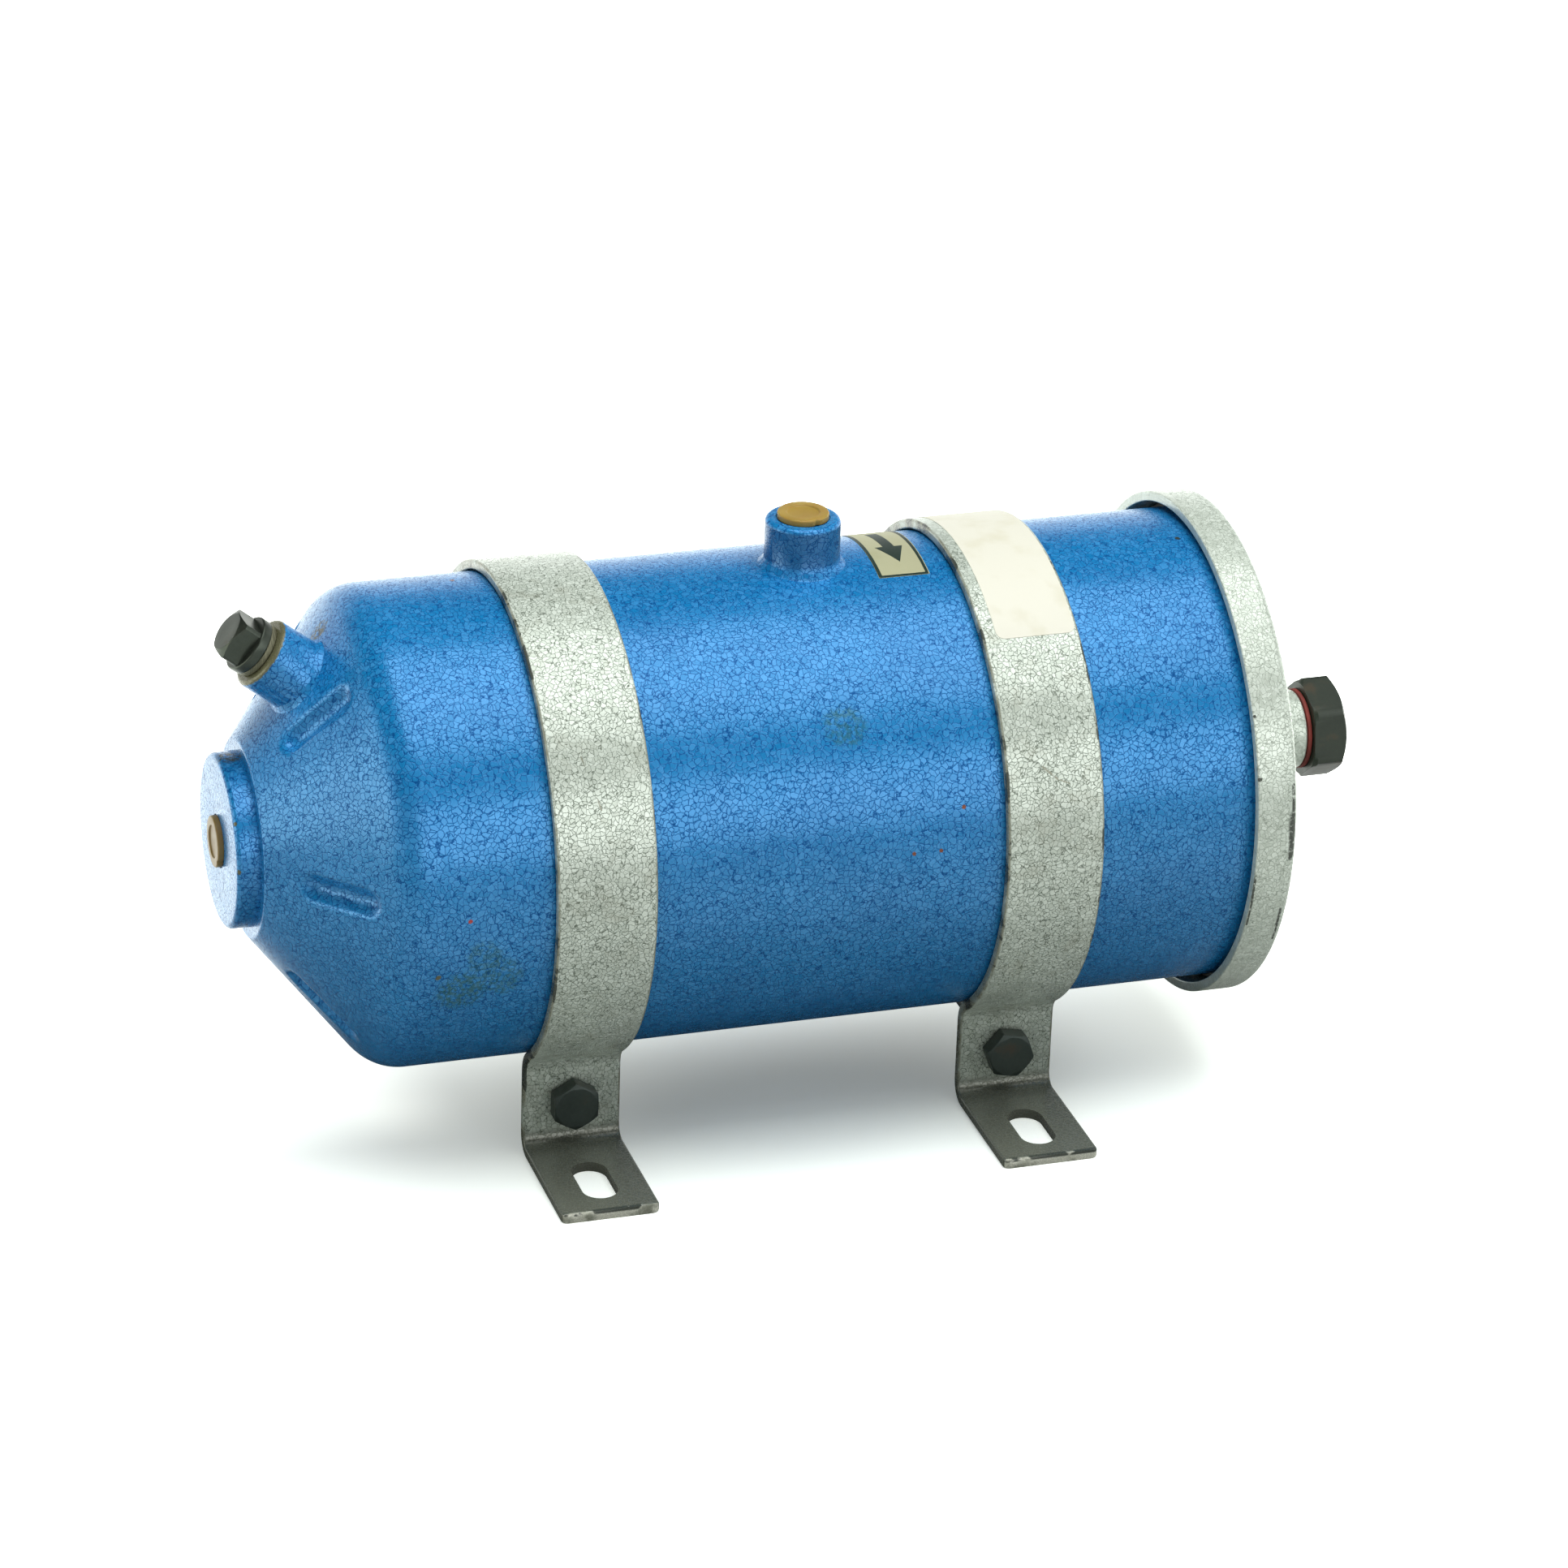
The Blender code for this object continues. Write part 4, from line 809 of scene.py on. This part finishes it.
# %% Collar
COLLAR_RADIUS, COLLAR_BORE, COLLAR_FLANGE = 11.8, 9.5, 19.2
collar_foot, collar_end = reach("cover_collar")
collar_seat = dome_top - COVER_WALL
spring_seat = collar_seat - 3.3
collar_ring = rounded(
    [
        (COLLAR_BORE, 140.0), (COLLAR_BORE, collar_end), (COLLAR_RADIUS, collar_end), (COLLAR_RADIUS, dome_top + 1.4),
        (COLLAR_RADIUS + 1.2, dome_top - 0.1), (COLLAR_RADIUS + 1.2, dome_top - 0.6), (COLLAR_RADIUS, dome_top - 0.8),
        (COLLAR_RADIUS, collar_seat - 0.1), (COLLAR_FLANGE, collar_seat - 0.1), (COLLAR_FLANGE, spring_seat),
        (COLLAR_RADIUS, spring_seat), (COLLAR_RADIUS, collar_foot), (COLLAR_BORE, collar_foot), (COLLAR_BORE, 139.0),
    ],
    [0.3, 0.8, 0.6, 0, 0, 0, 0, 0.3, 0.3, 0.3, 0.6, 0.3],
)
collar = build("collar_silver", (lathe(main_axis, collar_ring, 96), True), sharp=38)
fit(collar, "cover", ["cover_collar"], silver_enamel)

# %% Bands
BAND_RADIUS = 71.9
FLANGE_Y, FOOT_BEND, SHOULDER_BEND, FOOT_CORNER = 38.5, 5.0, 8.0, 1.5
SLOT_HALF_WIDTH, SLOT_NEAR, SLOT_FAR, CLAMP_HOLE = 5.25, 54.4, 75.9, 4.5
CLAMP_HEIGHT = joints["cone_end_clamp_bolt_turn"]["pos_m"][2] * 1000


def arc(centre, radius, first, last, steps):
    """Points about a centre from one angle to another, in degrees."""
    angle = np.radians(np.linspace(first, last, steps))
    return np.stack([centre[0] + radius * np.cos(angle), centre[1] + radius * np.sin(angle)], -1)


bend_y = FLANGE_Y + SHOULDER_BEND
bend_z = AXIS_HEIGHT - math.sqrt((BAND_RADIUS + SHOULDER_BEND) ** 2 - bend_y**2)
lean = math.degrees(math.atan2(AXIS_HEIGHT - bend_z, bend_y))
half_width, half_bar = BAND_WIDTH / 2, BAND_THICKNESS / 2
half_path = np.concatenate([
    [(inset - FOOT_TIP, half_bar) for inset in (0, 0.1, 0.3, 0.6, 1.0, FOOT_CORNER)],
    arc((-FLANGE_Y - FOOT_BEND, half_bar + FOOT_BEND), FOOT_BEND, -90, 0, 12),
    arc((-bend_y, bend_z), SHOULDER_BEND, 0, lean, 12),
    arc((0, AXIS_HEIGHT), BAND_RADIUS, 180 + lean, 90, 90)[1:],
])
half_path = finer(half_path, 3.0)
band_path = np.concatenate([half_path, half_path[-2::-1] * (-1, 1)])
section = rounded(
    [
        (0, -half_bar), (half_width, -half_bar), (half_width, half_bar), (-half_width, half_bar),
        (-half_width, -half_bar), (0, -half_bar),
    ],
    [0.7] * 4,
    steps=5,
)[:-1]


def swept_bar(station, path):
    """The bar's section carried along its path: at each step, across goes along X and thickness along the
    path's normal, which is its tangent turned a quarter turn. The last bit narrows along a circle, which
    rounds the corners of the feet."""
    tangent = np.gradient(path, axis=0)
    tangent /= np.linalg.norm(tangent, axis=1)[:, None]
    normal = np.stack([-tangent[:, 1], tangent[:, 0]], -1)
    yz = path[:, None] + section[None, :, 1:] * normal[:, None]
    inset = np.where(path[:, 1] < half_bar + 0.1, FOOT_TIP - np.abs(path[:, 0]), FOOT_TIP)
    narrowed = FOOT_CORNER - np.sqrt(np.maximum(FOOT_CORNER**2 - np.maximum(FOOT_CORNER - inset, 0) ** 2, 0))
    x = station + section[:, 0] * (1 - narrowed[:, None] / half_width)
    return np.concatenate([x[..., None], yz], -1)


def slot_rod(station, side):
    """A round-ended slot's shape: a circle whose two halves are drawn apart along Y."""
    t = around(48) + math.pi / 48
    stretch = (SLOT_FAR - SLOT_NEAR) / 2 - SLOT_HALF_WIDTH
    x = station + SLOT_HALF_WIDTH * np.cos(t)
    y = side * (SLOT_FAR + SLOT_NEAR) / 2 + SLOT_HALF_WIDTH * np.sin(t) + stretch * np.sign(np.sin(t))
    rows = [np.stack([x, y, np.full_like(x, z)], -1) for z in (-3.0, 7.0)]
    return build("slot_rod", (np.stack(rows), False))


for end, station in zip(("cone_end", "cover_end"), BAND_STATIONS):
    clamp_axis = axis_at((station, 0, CLAMP_HEIGHT), (1, 0, 0), (0, 0, 1), (0, -1, 0))
    band = build(end + "_band", (swept_bar(station, band_path), False), sharp=38)
    drill(band, slot_rod(station, -1), slot_rod(station, 1), rod(clamp_axis, CLAMP_HOLE, -60, 60), sharp=38)
    fit(band, "canister", [end + "_strap"], band_enamel)

# %% [markdown]
# ## Bolts, nuts and the vent plug
#
# A hexagon in polar form is one over the largest cosine to its six flats, and the vent plug's square has four.
# Real heads are cut from round bar, so a limit on the distance takes off the very corners. The chamfer cuts
# the end at 30 degrees from a circle, so it bites deeper at the corners. Threads are one more function of
# angle and height: a ridge that climbs by one pitch in each turn.

# %% Flats and threads
BOLT_STEPS = 144


def flats_of(sides, width, limit):
    """Distance from the axis to the side of a bar with equal flats, for each angle: half its width over the
    largest cosine to a flat, but no more than limit. A corner stands at angle 0."""
    t = around(BOLT_STEPS)[:, None]
    faces = (np.arange(sides) + 0.5) * 2 * math.pi / sides
    return np.minimum(width / 2 / np.cos(t - faces).max(1), limit)


def swung(axis, degrees):
    """The same axis with its two side directions turned about it."""
    origin, right, side, along = axis
    c, s = math.cos(math.radians(degrees)), math.sin(math.radians(degrees))
    return origin, c * right + s * side, c * side - s * right, along


def head_rows(side, end, top, foot):
    """Rows from the middle of a head's end, out over its 30 degree chamfer and down its sides."""
    rows = [(0, top - 0.12), (0.5 * end, top - 0.08), (0.93 * end, top), (end, top - 0.03)]
    for share in np.linspace(0.08, 1, 7):
        out = end + (side - end) * share
        rows.append((out, top - (out - end) * math.tan(math.radians(30))))
    return rows + [(side, (top + foot) / 2), (side, foot)]


def thread_rows(radius, pitch, high, low):
    """Rows of a screw thread: the radius drops from its crest by 0.6 pitch times how far the point is from the
    ridge, which climbs one pitch in a turn, and the thread fades out over one pitch at both ends."""
    t = around(BOLT_STEPS)
    rows = []
    for z in np.linspace(high, low, int((high - low) / pitch * 7) + 2):
        phase = (z / pitch - t / (2 * math.pi)) % 1
        fade = np.clip(min(high - z, z - low) / pitch, 0, 1)
        rows.append((radius - 0.6 * pitch * fade * np.abs(2 * phase - 1), z))
    return rows


def bolt_steel(name, dark, light, rust, metallic, roughness, seed):
    """Oiled dark steel: two close shades in fine noise, rubbed lighter in places, with a trace of rust."""
    look, tree, shader, place = new_look(name)
    moved = node(tree, "ShaderNodeMapping", {"Vector": place, "Location": (seed, seed, seed)}).outputs[0]
    fine = noise(tree, moved, 900.0, 4.0)
    broad = noise(tree, moved, 120.0, 4.0)
    base = mixed(tree, calc(tree, "MULTIPLY_ADD", fine, 0.35, times(tree, broad, 0.6)), dark, light)
    base = mixed(tree, times(tree, ease(tree, broad, 0.58, 0.74), 0.7), base, rust)
    rough = calc(tree, "MULTIPLY_ADD", broad, 0.25, roughness - 0.12)
    wire(tree, shader, base, rough, fine, 0.012)
    shader.inputs["Metallic"].default_value = metallic
    return look


clamp_steel = bolt_steel("clamp_steel", colour(33, 44, 40), colour(62, 74, 68), colour(70, 64, 52), 0.4, 0.42, 0.1)
lid_steel = bolt_steel("lid_steel", colour(34, 41, 35), colour(56, 64, 54), colour(68, 60, 46), 0.4, 0.42, 0.3)
vent_steel = bolt_steel("vent_steel", colour(50, 56, 49), colour(84, 92, 82), colour(70, 64, 48), 0.75, 0.34, 0.5)
print("three steels")

# %% Clamp bolts and nuts
CLAMP_SEAT, CLAMP_HEAD, CLAMP_NUT, CLAMP_LENGTH, CLAMP_FLATS = 40.3, 5.3, 6.8, 90.0, 13.0
CLAMP_THREAD, CLAMP_PITCH, NUT_BORE = 4.0, 1.25, 4.3
clamp_side, clamp_end = flats_of(6, CLAMP_FLATS, 7.38), 0.47 * CLAMP_FLATS
for end, station, turn in zip(("cone_end", "cover_end"), BAND_STATIONS, (30, -11)):
    clamp_axis = axis_at((station, 0, CLAMP_HEIGHT), (1, 0, 0), (0, 0, 1), (0, -1, 0))
    tip = CLAMP_SEAT - CLAMP_LENGTH
    rows = head_rows(clamp_side, clamp_end, CLAMP_SEAT + CLAMP_HEAD, CLAMP_SEAT + 0.3)
    rows += [(clamp_end, CLAMP_SEAT), (CLAMP_THREAD + 0.3, CLAMP_SEAT), (CLAMP_THREAD, CLAMP_SEAT - 0.4)]
    rows += thread_rows(CLAMP_THREAD, CLAMP_PITCH, tip + 22, tip + 0.8) + [(3.2, tip), (0, tip)]
    grid = turned(swung(clamp_axis, turn), *rows_of(rows, BOLT_STEPS), BOLT_STEPS)
    bolt = build(end + "_bolt", (grid, False), sharp=18)
    fit(bolt, end + "_clamp_bolt", [end + "_clamp_bolt"], clamp_steel)
    near, far = -CLAMP_SEAT, -CLAMP_SEAT - CLAMP_NUT
    middle, fall = (near + far) / 2, (clamp_side - clamp_end) * math.tan(math.radians(30))
    rows = [
        (NUT_BORE, near - 0.6), (NUT_BORE + 0.6, near), (clamp_end, near), (clamp_side, near - fall),
        (clamp_side, middle), (clamp_side, far + fall), (clamp_end, far), (NUT_BORE + 0.6, far),
        (NUT_BORE, far + 0.6), (NUT_BORE, middle),
    ]
    nut = build(end + "_nut", (turned(clamp_axis, *rows_of(rows, BOLT_STEPS), BOLT_STEPS), True), sharp=18)
    fit(nut, end + "_clamp_nut", [end + "_clamp_nut"], clamp_steel)

# %% Cover bolt
LID_FLATS, LID_TURN, LID_THREAD, LID_PITCH = 27.0, 51, 9.0, 2.5
lid_side = flats_of(6, LID_FLATS, 15.4)
bolt_seat = joints["cover_bolt_turn"]["pos_m"][0] * 1000
lid_tip, lid_top = reach("cover_bolt")
rows = head_rows(lid_side, 0.47 * LID_FLATS, lid_top, bolt_seat + 1.0)
rows += [(np.minimum(lid_side, 14.4), bolt_seat + 0.2), (np.minimum(lid_side, 14.1), bolt_seat)]
rows += [(LID_THREAD + 0.3, bolt_seat), (LID_THREAD, bolt_seat - 0.5)]
rows += thread_rows(LID_THREAD, LID_PITCH, lid_tip + 36, lid_tip + 1.5) + [(7.4, lid_tip), (0, lid_tip)]
grid = turned(swung(main_axis, LID_TURN), *rows_of(rows, BOLT_STEPS), BOLT_STEPS)
lid_bolt = build("lid_bolt", (grid, False), sharp=18)
fit(lid_bolt, "cover_bolt", ["cover_bolt"], lid_steel)

# %% Vent plug
VENT_SQUARE, VENT_TURN, VENT_COLLAR, VENT_TIP = 12.0, 42.5, 8.5, 3.9
COLLAR_LOW, COLLAR_HIGH, VENT_END, VENT_THREAD, VENT_PITCH = 15.9, 18.9, 25.4, 6.0, 1.5
vent_side = flats_of(4, VENT_SQUARE, 7.9)
rows = head_rows(vent_side, 0.47 * VENT_SQUARE, VENT_END, COLLAR_HIGH)
flange = rounded(
    [(7.9, COLLAR_HIGH), (VENT_COLLAR, COLLAR_HIGH), (VENT_COLLAR, COLLAR_LOW), (6.4, COLLAR_LOW)], [0.5, 0.3]
)
rows += [tuple(point) for point in flange[1:]] + [(VENT_THREAD, COLLAR_LOW - 0.4)]
rows += thread_rows(VENT_THREAD, VENT_PITCH, COLLAR_LOW - 0.5, VENT_TIP + 1.0) + [(5.0, VENT_TIP), (0, VENT_TIP)]
grid = turned(swung(vent_axis, VENT_TURN), *rows_of(rows, BOLT_STEPS), BOLT_STEPS)
vent_plug = build("vent_screw", (grid, False), sharp=18)
fit(vent_plug, "vent_plug", ["vent_plug"], vent_steel)

# %% [markdown]
# ## Seals, caps and what lies inside
#
# The small rings and caps are moulded or stamped, so they are turned profiles with soft edges. Rubber and
# plastic take light into their surface, which a higher roughness and a fine noise in the bump suggest. The
# element, its spring and the tube show only when the cover comes off, and they get the same care.

# %% Rubber, plastic and bare metal
def moulded(name, dark, light, roughness, scale, depth, subsurface=0.0):
    """A moulded finish: two close shades in fine noise, with a soft grain."""
    look, tree, shader, place = new_look(name)
    fine = noise(tree, place, scale, 4.0)
    broad = noise(tree, place, 0.2 * scale, 2.0)
    base = mixed(tree, ease(tree, broad, 0.3, 0.7), dark, light)
    rough = calc(tree, "MULTIPLY_ADD", fine, 0.15, roughness - 0.07)
    wire(tree, shader, base, rough, fine, depth)
    shader.inputs["Subsurface Weight"].default_value = subsurface
    shader.inputs["Subsurface Scale"].default_value = 0.002
    return look


def bare(name, dark, light, metallic, roughness, scale):
    """Bare metal with the fine lines that turning leaves, as noise drawn out round the piece."""
    look, tree, shader, place = new_look(name)
    drawn = node(tree, "ShaderNodeMapping", {"Vector": place, "Scale": (12.0, 1.0, 1.0)}).outputs[0]
    lines = noise(tree, drawn, scale, 5.0)
    base = mixed(tree, ease(tree, lines, 0.3, 0.7), dark, light)
    rough = calc(tree, "MULTIPLY_ADD", lines, 0.25, roughness - 0.12)
    wire(tree, shader, base, rough, lines, 0.02)
    shader.inputs["Metallic"].default_value = metallic
    return look


red_rubber = moulded("red_rubber", colour(98, 40, 34), colour(128, 52, 44), 0.70, 500.0, 0.03)
black_rubber = moulded("black_rubber", colour(26, 27, 27), colour(44, 45, 44), 0.60, 500.0, 0.03)
amber_plastic = moulded("amber_plastic", colour(146, 119, 49), colour(160, 135, 62), 0.42, 400.0, 0.02, 0.15)
olive_plastic = moulded("olive_plastic", colour(122, 100, 56), colour(144, 120, 68), 0.42, 400.0, 0.02, 0.15)
filter_paper = moulded("filter_paper", colour(196, 176, 128), colour(214, 198, 152), 0.85, 900.0, 0.05)
bright_steel = bare("bright_steel", colour(150, 150, 148), colour(196, 196, 192), 0.9, 0.34, 220.0)
aluminium = bare("aluminium", colour(92, 92, 72), colour(120, 120, 98), 0.5, 0.5, 260.0)
print("seven moulded and bare finishes")

# %% Seals and caps
def ring(name, axis, inner, outer, low, high, edge, steps=96):
    """A flat ring with rounded edges."""
    middle = (low + high) / 2
    profile = rounded(
        [(inner, middle), (inner, low), (outer, low), (outer, high), (inner, high), (inner, middle)], [edge] * 4, 4
    )[:-1]
    return build(name, (lathe(axis, profile, steps), True))


seal_low, seal_high = reach("cover_bolt_seal")
seal = ring("lid_bolt_seal", main_axis, 9.4, 12.0, seal_low - 0.1, seal_high + 0.1, 0.3)
fit(seal, "cover_bolt_seal", ["cover_bolt_seal"], red_rubber)
seal = ring("vent_washer", vent_axis, VENT_BORE, 8.2, VENT_TOP + 0.1, COLLAR_LOW - 0.1, 0.4)
fit(seal, "vent_plug_seal", ["vent_plug_seal"], aluminium)
gasket_low, gasket_high = reach("cover_gasket")
seal = ring("lid_gasket", main_axis, 65.5, 71.7, gasket_low, gasket_high, 0.5, 160)
fit(seal, "cover", ["cover_gasket"], black_rubber)

CAP_STEPS = 120
cap_profile = rounded(
    [(0, 1.15), (4.6, 1.2), (4.9, 1.7), (7.5, 1.7), (7.5, -0.2), (5.6, -0.2), (5.6, -8.0), (0, -8.0)],
    [0.25, 0.3, 0.5, 0.2, 0.2, 0.6],
    steps=5,
)


def ease_in(value, low, high):
    """0 below low, 1 above high, straight between."""
    return np.clip((value - low) / (high - low), 0, 1)


def cap(name, axis, face, nick):
    """A turned cap with a small nick in its rim: the outer radius dips as a bell curve about one angle."""
    t = around(CAP_STEPS)
    turn = (t - nick + math.pi) % (2 * math.pi) - math.pi
    dip = 0.55 * np.exp(-((turn / 0.10) ** 2)) * ease_in(cap_profile[:, :1], 6.6, 7.3)
    radius = cap_profile[:, :1] - dip
    return build(name, (turned(axis, radius, cap_profile[:, 1:] + face, CAP_STEPS), False))


for port, axis, face, nick, look in (
    ("inlet", inlet_axis, inlet_top, -75, amber_plastic), ("outlet", outlet_axis, 0.0, -120, olive_plastic),
):
    piece = cap(port + "_plug_cap", axis, face, math.radians(nick))
    fit(piece, port + "_cap", [port + "_cap"], look)

# %% Spring, tube and element
SPRING_RADIUS, WIRE, SPRING_TURNS, END_RISE = 16.2, 1.5, 6, 3.8
element_top, element_foot = reach("element_upper_cap")[1], reach("element_lower_cap")[0]


def coil():
    """The wire's round section carried along a helix. The first and last turns rise a little, and the four
    between share what is left."""
    turns = np.linspace(0, SPRING_TURNS, 361)
    low, high = element_top + WIRE, spring_seat - WIRE
    x = np.interp(turns, [0, 1, SPRING_TURNS - 1, SPRING_TURNS], [low, low + END_RISE, high - END_RISE, high])
    t = 2 * math.pi * turns
    centre = placed(main_axis, SPRING_RADIUS * np.cos(t), SPRING_RADIUS * np.sin(t), x)
    outward = placed(main_axis, np.cos(t), np.sin(t), 0 * t) - main_axis[0]
    tangent = np.gradient(centre, axis=0)
    tangent /= np.linalg.norm(tangent, axis=1)[:, None]
    side = np.cross(tangent, outward)
    s = around(14)[:, None]
    return centre[:, None] + WIRE * (np.cos(s) * outward[:, None] + np.sin(s) * side[:, None])


spring = build("hold_down_spring", (coil(), False), sharp=60)
fit(spring, "cover", ["element_spring"], bright_steel)
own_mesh(spring)

TUBE_BORE, TUBE_RADIUS, CROSS_HOLE = 9.3, 13.0, 4.0
tube_low, tube_high = reach("centre_tube")
tube = rounded(
    [
        (TUBE_BORE, 0), (TUBE_BORE, tube_high), (TUBE_RADIUS, tube_high), (TUBE_RADIUS, tube_low),
        (TUBE_BORE, tube_low), (TUBE_BORE, 0),
    ],
    [0.8, 0.5, 0.3, 0.3],
)[:-1]
piece = build("bolt_tube", (lathe(main_axis, tube, 72), True))
cross_holes = []
for row in range(3):
    x = element_foot + 7 + (element_top - element_foot - 14) * (row + 0.5) / 3
    for direction in ((0, 1, 0), (0, 0, 1)):
        hole_axis = axis_at((x, 0, AXIS_HEIGHT), (1, 0, 0), np.cross(direction, (1, 0, 0)), direction)
        cross_holes.append(rod(hole_axis, CROSS_HOLE + 0.05 * direction[1], -20, 20, 32))
drill(piece, *cross_holes)
fit(piece, "canister", ["centre_tube"], bright_steel)

ELEMENT_HOLE, ELEMENT_RADIUS, CAP_WALL, CAP_SKIRT = 13.8, 50.0, 1.5, 7.0
for name, node_name, outer, inward in (
    ("element_top_cap", "element_upper_cap", element_top, -1),
    ("element_foot_cap", "element_lower_cap", element_foot, 1),
):
    inner, skirt_end = outer + CAP_WALL * inward, outer + CAP_SKIRT * inward
    profile = rounded(
        [
            (ELEMENT_HOLE, outer), (ELEMENT_RADIUS, outer), (ELEMENT_RADIUS, skirt_end),
            (ELEMENT_RADIUS - CAP_WALL, skirt_end), (ELEMENT_RADIUS - CAP_WALL, inner), (ELEMENT_HOLE, inner),
        ],
        [1.2, 0.4, 0.4, 0.5],
    )
    piece = build(name, (lathe(main_axis, profile, 160), True))
    fit(piece, "element", [node_name], bright_steel)

PLEATS, PLEAT_FOOT, PLEAT_DEPTH, PAPER = 48, 27.0, 20.5, 1.5
t = around(PLEATS * 10)
wave = np.abs((t * PLEATS / (2 * math.pi)) % 1 * 2 - 1)
wave = wave * wave * (3 - 2 * wave)
folds, low, high = PLEAT_FOOT + PLEAT_DEPTH * wave, element_foot + 2, element_top - 2
rows = [(folds, low), (folds, high), (folds - PAPER, high), (folds - PAPER, low)]
paper = build("pleated_paper", (turned(main_axis, *rows_of(rows, len(t)), len(t)), True), sharp=50)
fit(paper, "element", ["element_media"], filter_paper)

for name, look in (
    ("seat_plate", bright_steel), ("element_core", bright_steel),
    ("lower_element_seal", black_rubber), ("upper_element_seal", black_rubber),
):
    for slot in frame["nodes"][name].material_slots:
        slot.material = look
    print(name, "keeps its solid, in", look.name)

# %% [markdown]
# ## Label and sticker
#
# A cream label with a black border lies across the top beside the inlet, and a plain white sticker is stuck
# over one band. Both are thin sheets that follow a cylinder: a flat outline is wrapped by turning its second
# coordinate, an arc length, into an angle. The label carries only a plain arrow for the flow.

# %% Wrapped sheets
def wrapped(outline, radius):
    """(along, arc) pairs laid on a cylinder about the main axis: the angle is arc over radius."""
    angle = outline[..., 1] / radius
    return placed(main_axis, radius * np.cos(angle), radius * np.sin(angle), outline[..., 0])


def sheet(name, outline, centre, radius, thickness, rings=14):
    """A thin sheet on a cylinder: rings of the outline shrunk towards its centre, on top and underneath."""
    share = np.linspace(0, 1, rings)[:, None, None]
    flat = np.asarray(centre) + share * (outline - np.asarray(centre))
    top, bottom = wrapped(flat, radius + thickness), wrapped(flat[::-1], radius - 0.05)
    return build(name, (np.concatenate([top, bottom]), False), sharp=40)


def frame_strip(name, outer, inner, radius, thickness):
    """The strip between two outlines, as a thin ring on a cylinder."""
    rows = [wrapped(inner, radius - 0.02), wrapped(inner, radius + thickness)]
    rows += [wrapped(outer, radius + thickness), wrapped(outer, radius - 0.02)]
    return build(name, (np.stack(rows), True), sharp=40)


def rectangle(x0, x1, a0, a1, radius, lean=0.0):
    """A rounded rectangle's outline, its along coordinate leaning with the arc."""
    x, a = (x0 + x1) / 2, (a0 + a1) / 2
    points = rounded([(x, a0), (x1, a0), (x1, a1), (x0, a1), (x0, a0), (x, a0)], [radius] * 4, 5)
    points = finer(points, 1.5)[:-1]
    points[:, 0] -= lean * (points[:, 1] - a)
    return points, (x, a)


def printed(name, base, stain, amount):
    """Paper or film: even colour with faint broad stains and a fine tooth."""
    look, tree, shader, place = new_look(name)
    broad = noise(tree, place, 90.0, 4.0)
    fine = noise(tree, place, 1500.0, 2.0)
    stained = times(tree, ease(tree, broad, 0.48, 0.75), amount)
    rough = calc(tree, "MULTIPLY_ADD", fine, 0.15, 0.42)
    wire(tree, shader, mixed(tree, stained, base, stain), rough, fine, 0.01)
    return look


cream_film = printed("cream_film", colour(166, 167, 134), colour(148, 147, 106), 0.5)
black_ink = printed("black_ink", colour(24, 44, 36), colour(40, 60, 50), 0.6)
white_paper = printed("white_paper", colour(214, 214, 199), colour(194, 191, 162), 0.4)

LABEL_LEFT, LABEL_RIGHT, LABEL_LEAN, LABEL_BORDER = 22.3, 37.6, 0.05, 1.9
FILM, INK = 0.12, 0.06
front, back = BODY_RADIUS * math.radians(11.5), -BODY_RADIUS * math.radians(24)
outline, middle = rectangle(LABEL_LEFT, LABEL_RIGHT, back, front, 0.3, LABEL_LEAN)
piece = sheet("flow_label", outline, middle, BODY_RADIUS, FILM)
fit(piece, "canister", [], cream_film)
border_size = np.array([LABEL_RIGHT - LABEL_LEFT - 0.3, front - back - 0.15])
edge_out, _ = rectangle(LABEL_LEFT + 0.05, LABEL_RIGHT - 0.25, back + 0.1, front - 0.05, 0.3, LABEL_LEAN)
edge_in = np.asarray(middle) + (edge_out - np.asarray(middle)) * (1 - LABEL_BORDER / border_size)
piece = frame_strip("flow_label_border", edge_out, edge_in, BODY_RADIUS + 0.1, INK)
fit(piece, "canister", [], black_ink)
tip, neck, tail, half_head, half_shaft = 14.0, 3.0, -14.0, 4.2, 1.7
arrow = np.array([
    (0, tip), (half_head, neck), (half_shaft, neck), (half_shaft, tail), (-half_shaft, tail), (-half_shaft, neck),
    (-half_head, neck), (0, tip),
])
arrow = finer(arrow, 1.5)[:-1] + middle
piece = sheet("flow_label_arrow", arrow, np.asarray(middle) + (0, neck + 0.5), BODY_RADIUS + 0.1, INK)
fit(piece, "canister", [], black_ink)
BAND_TOP, STICKER_LEFT, STICKER_RIGHT = BAND_RADIUS + BAND_THICKNESS / 2, 47.5, 71.3
front, back = BAND_TOP * math.radians(36), -BAND_TOP * math.radians(34)
outline, middle = rectangle(STICKER_LEFT, STICKER_RIGHT, back, front, 2.5)
piece = sheet("blank_sticker", outline, middle, BAND_TOP, FILM, 24)
fit(piece, "canister", [], white_paper)
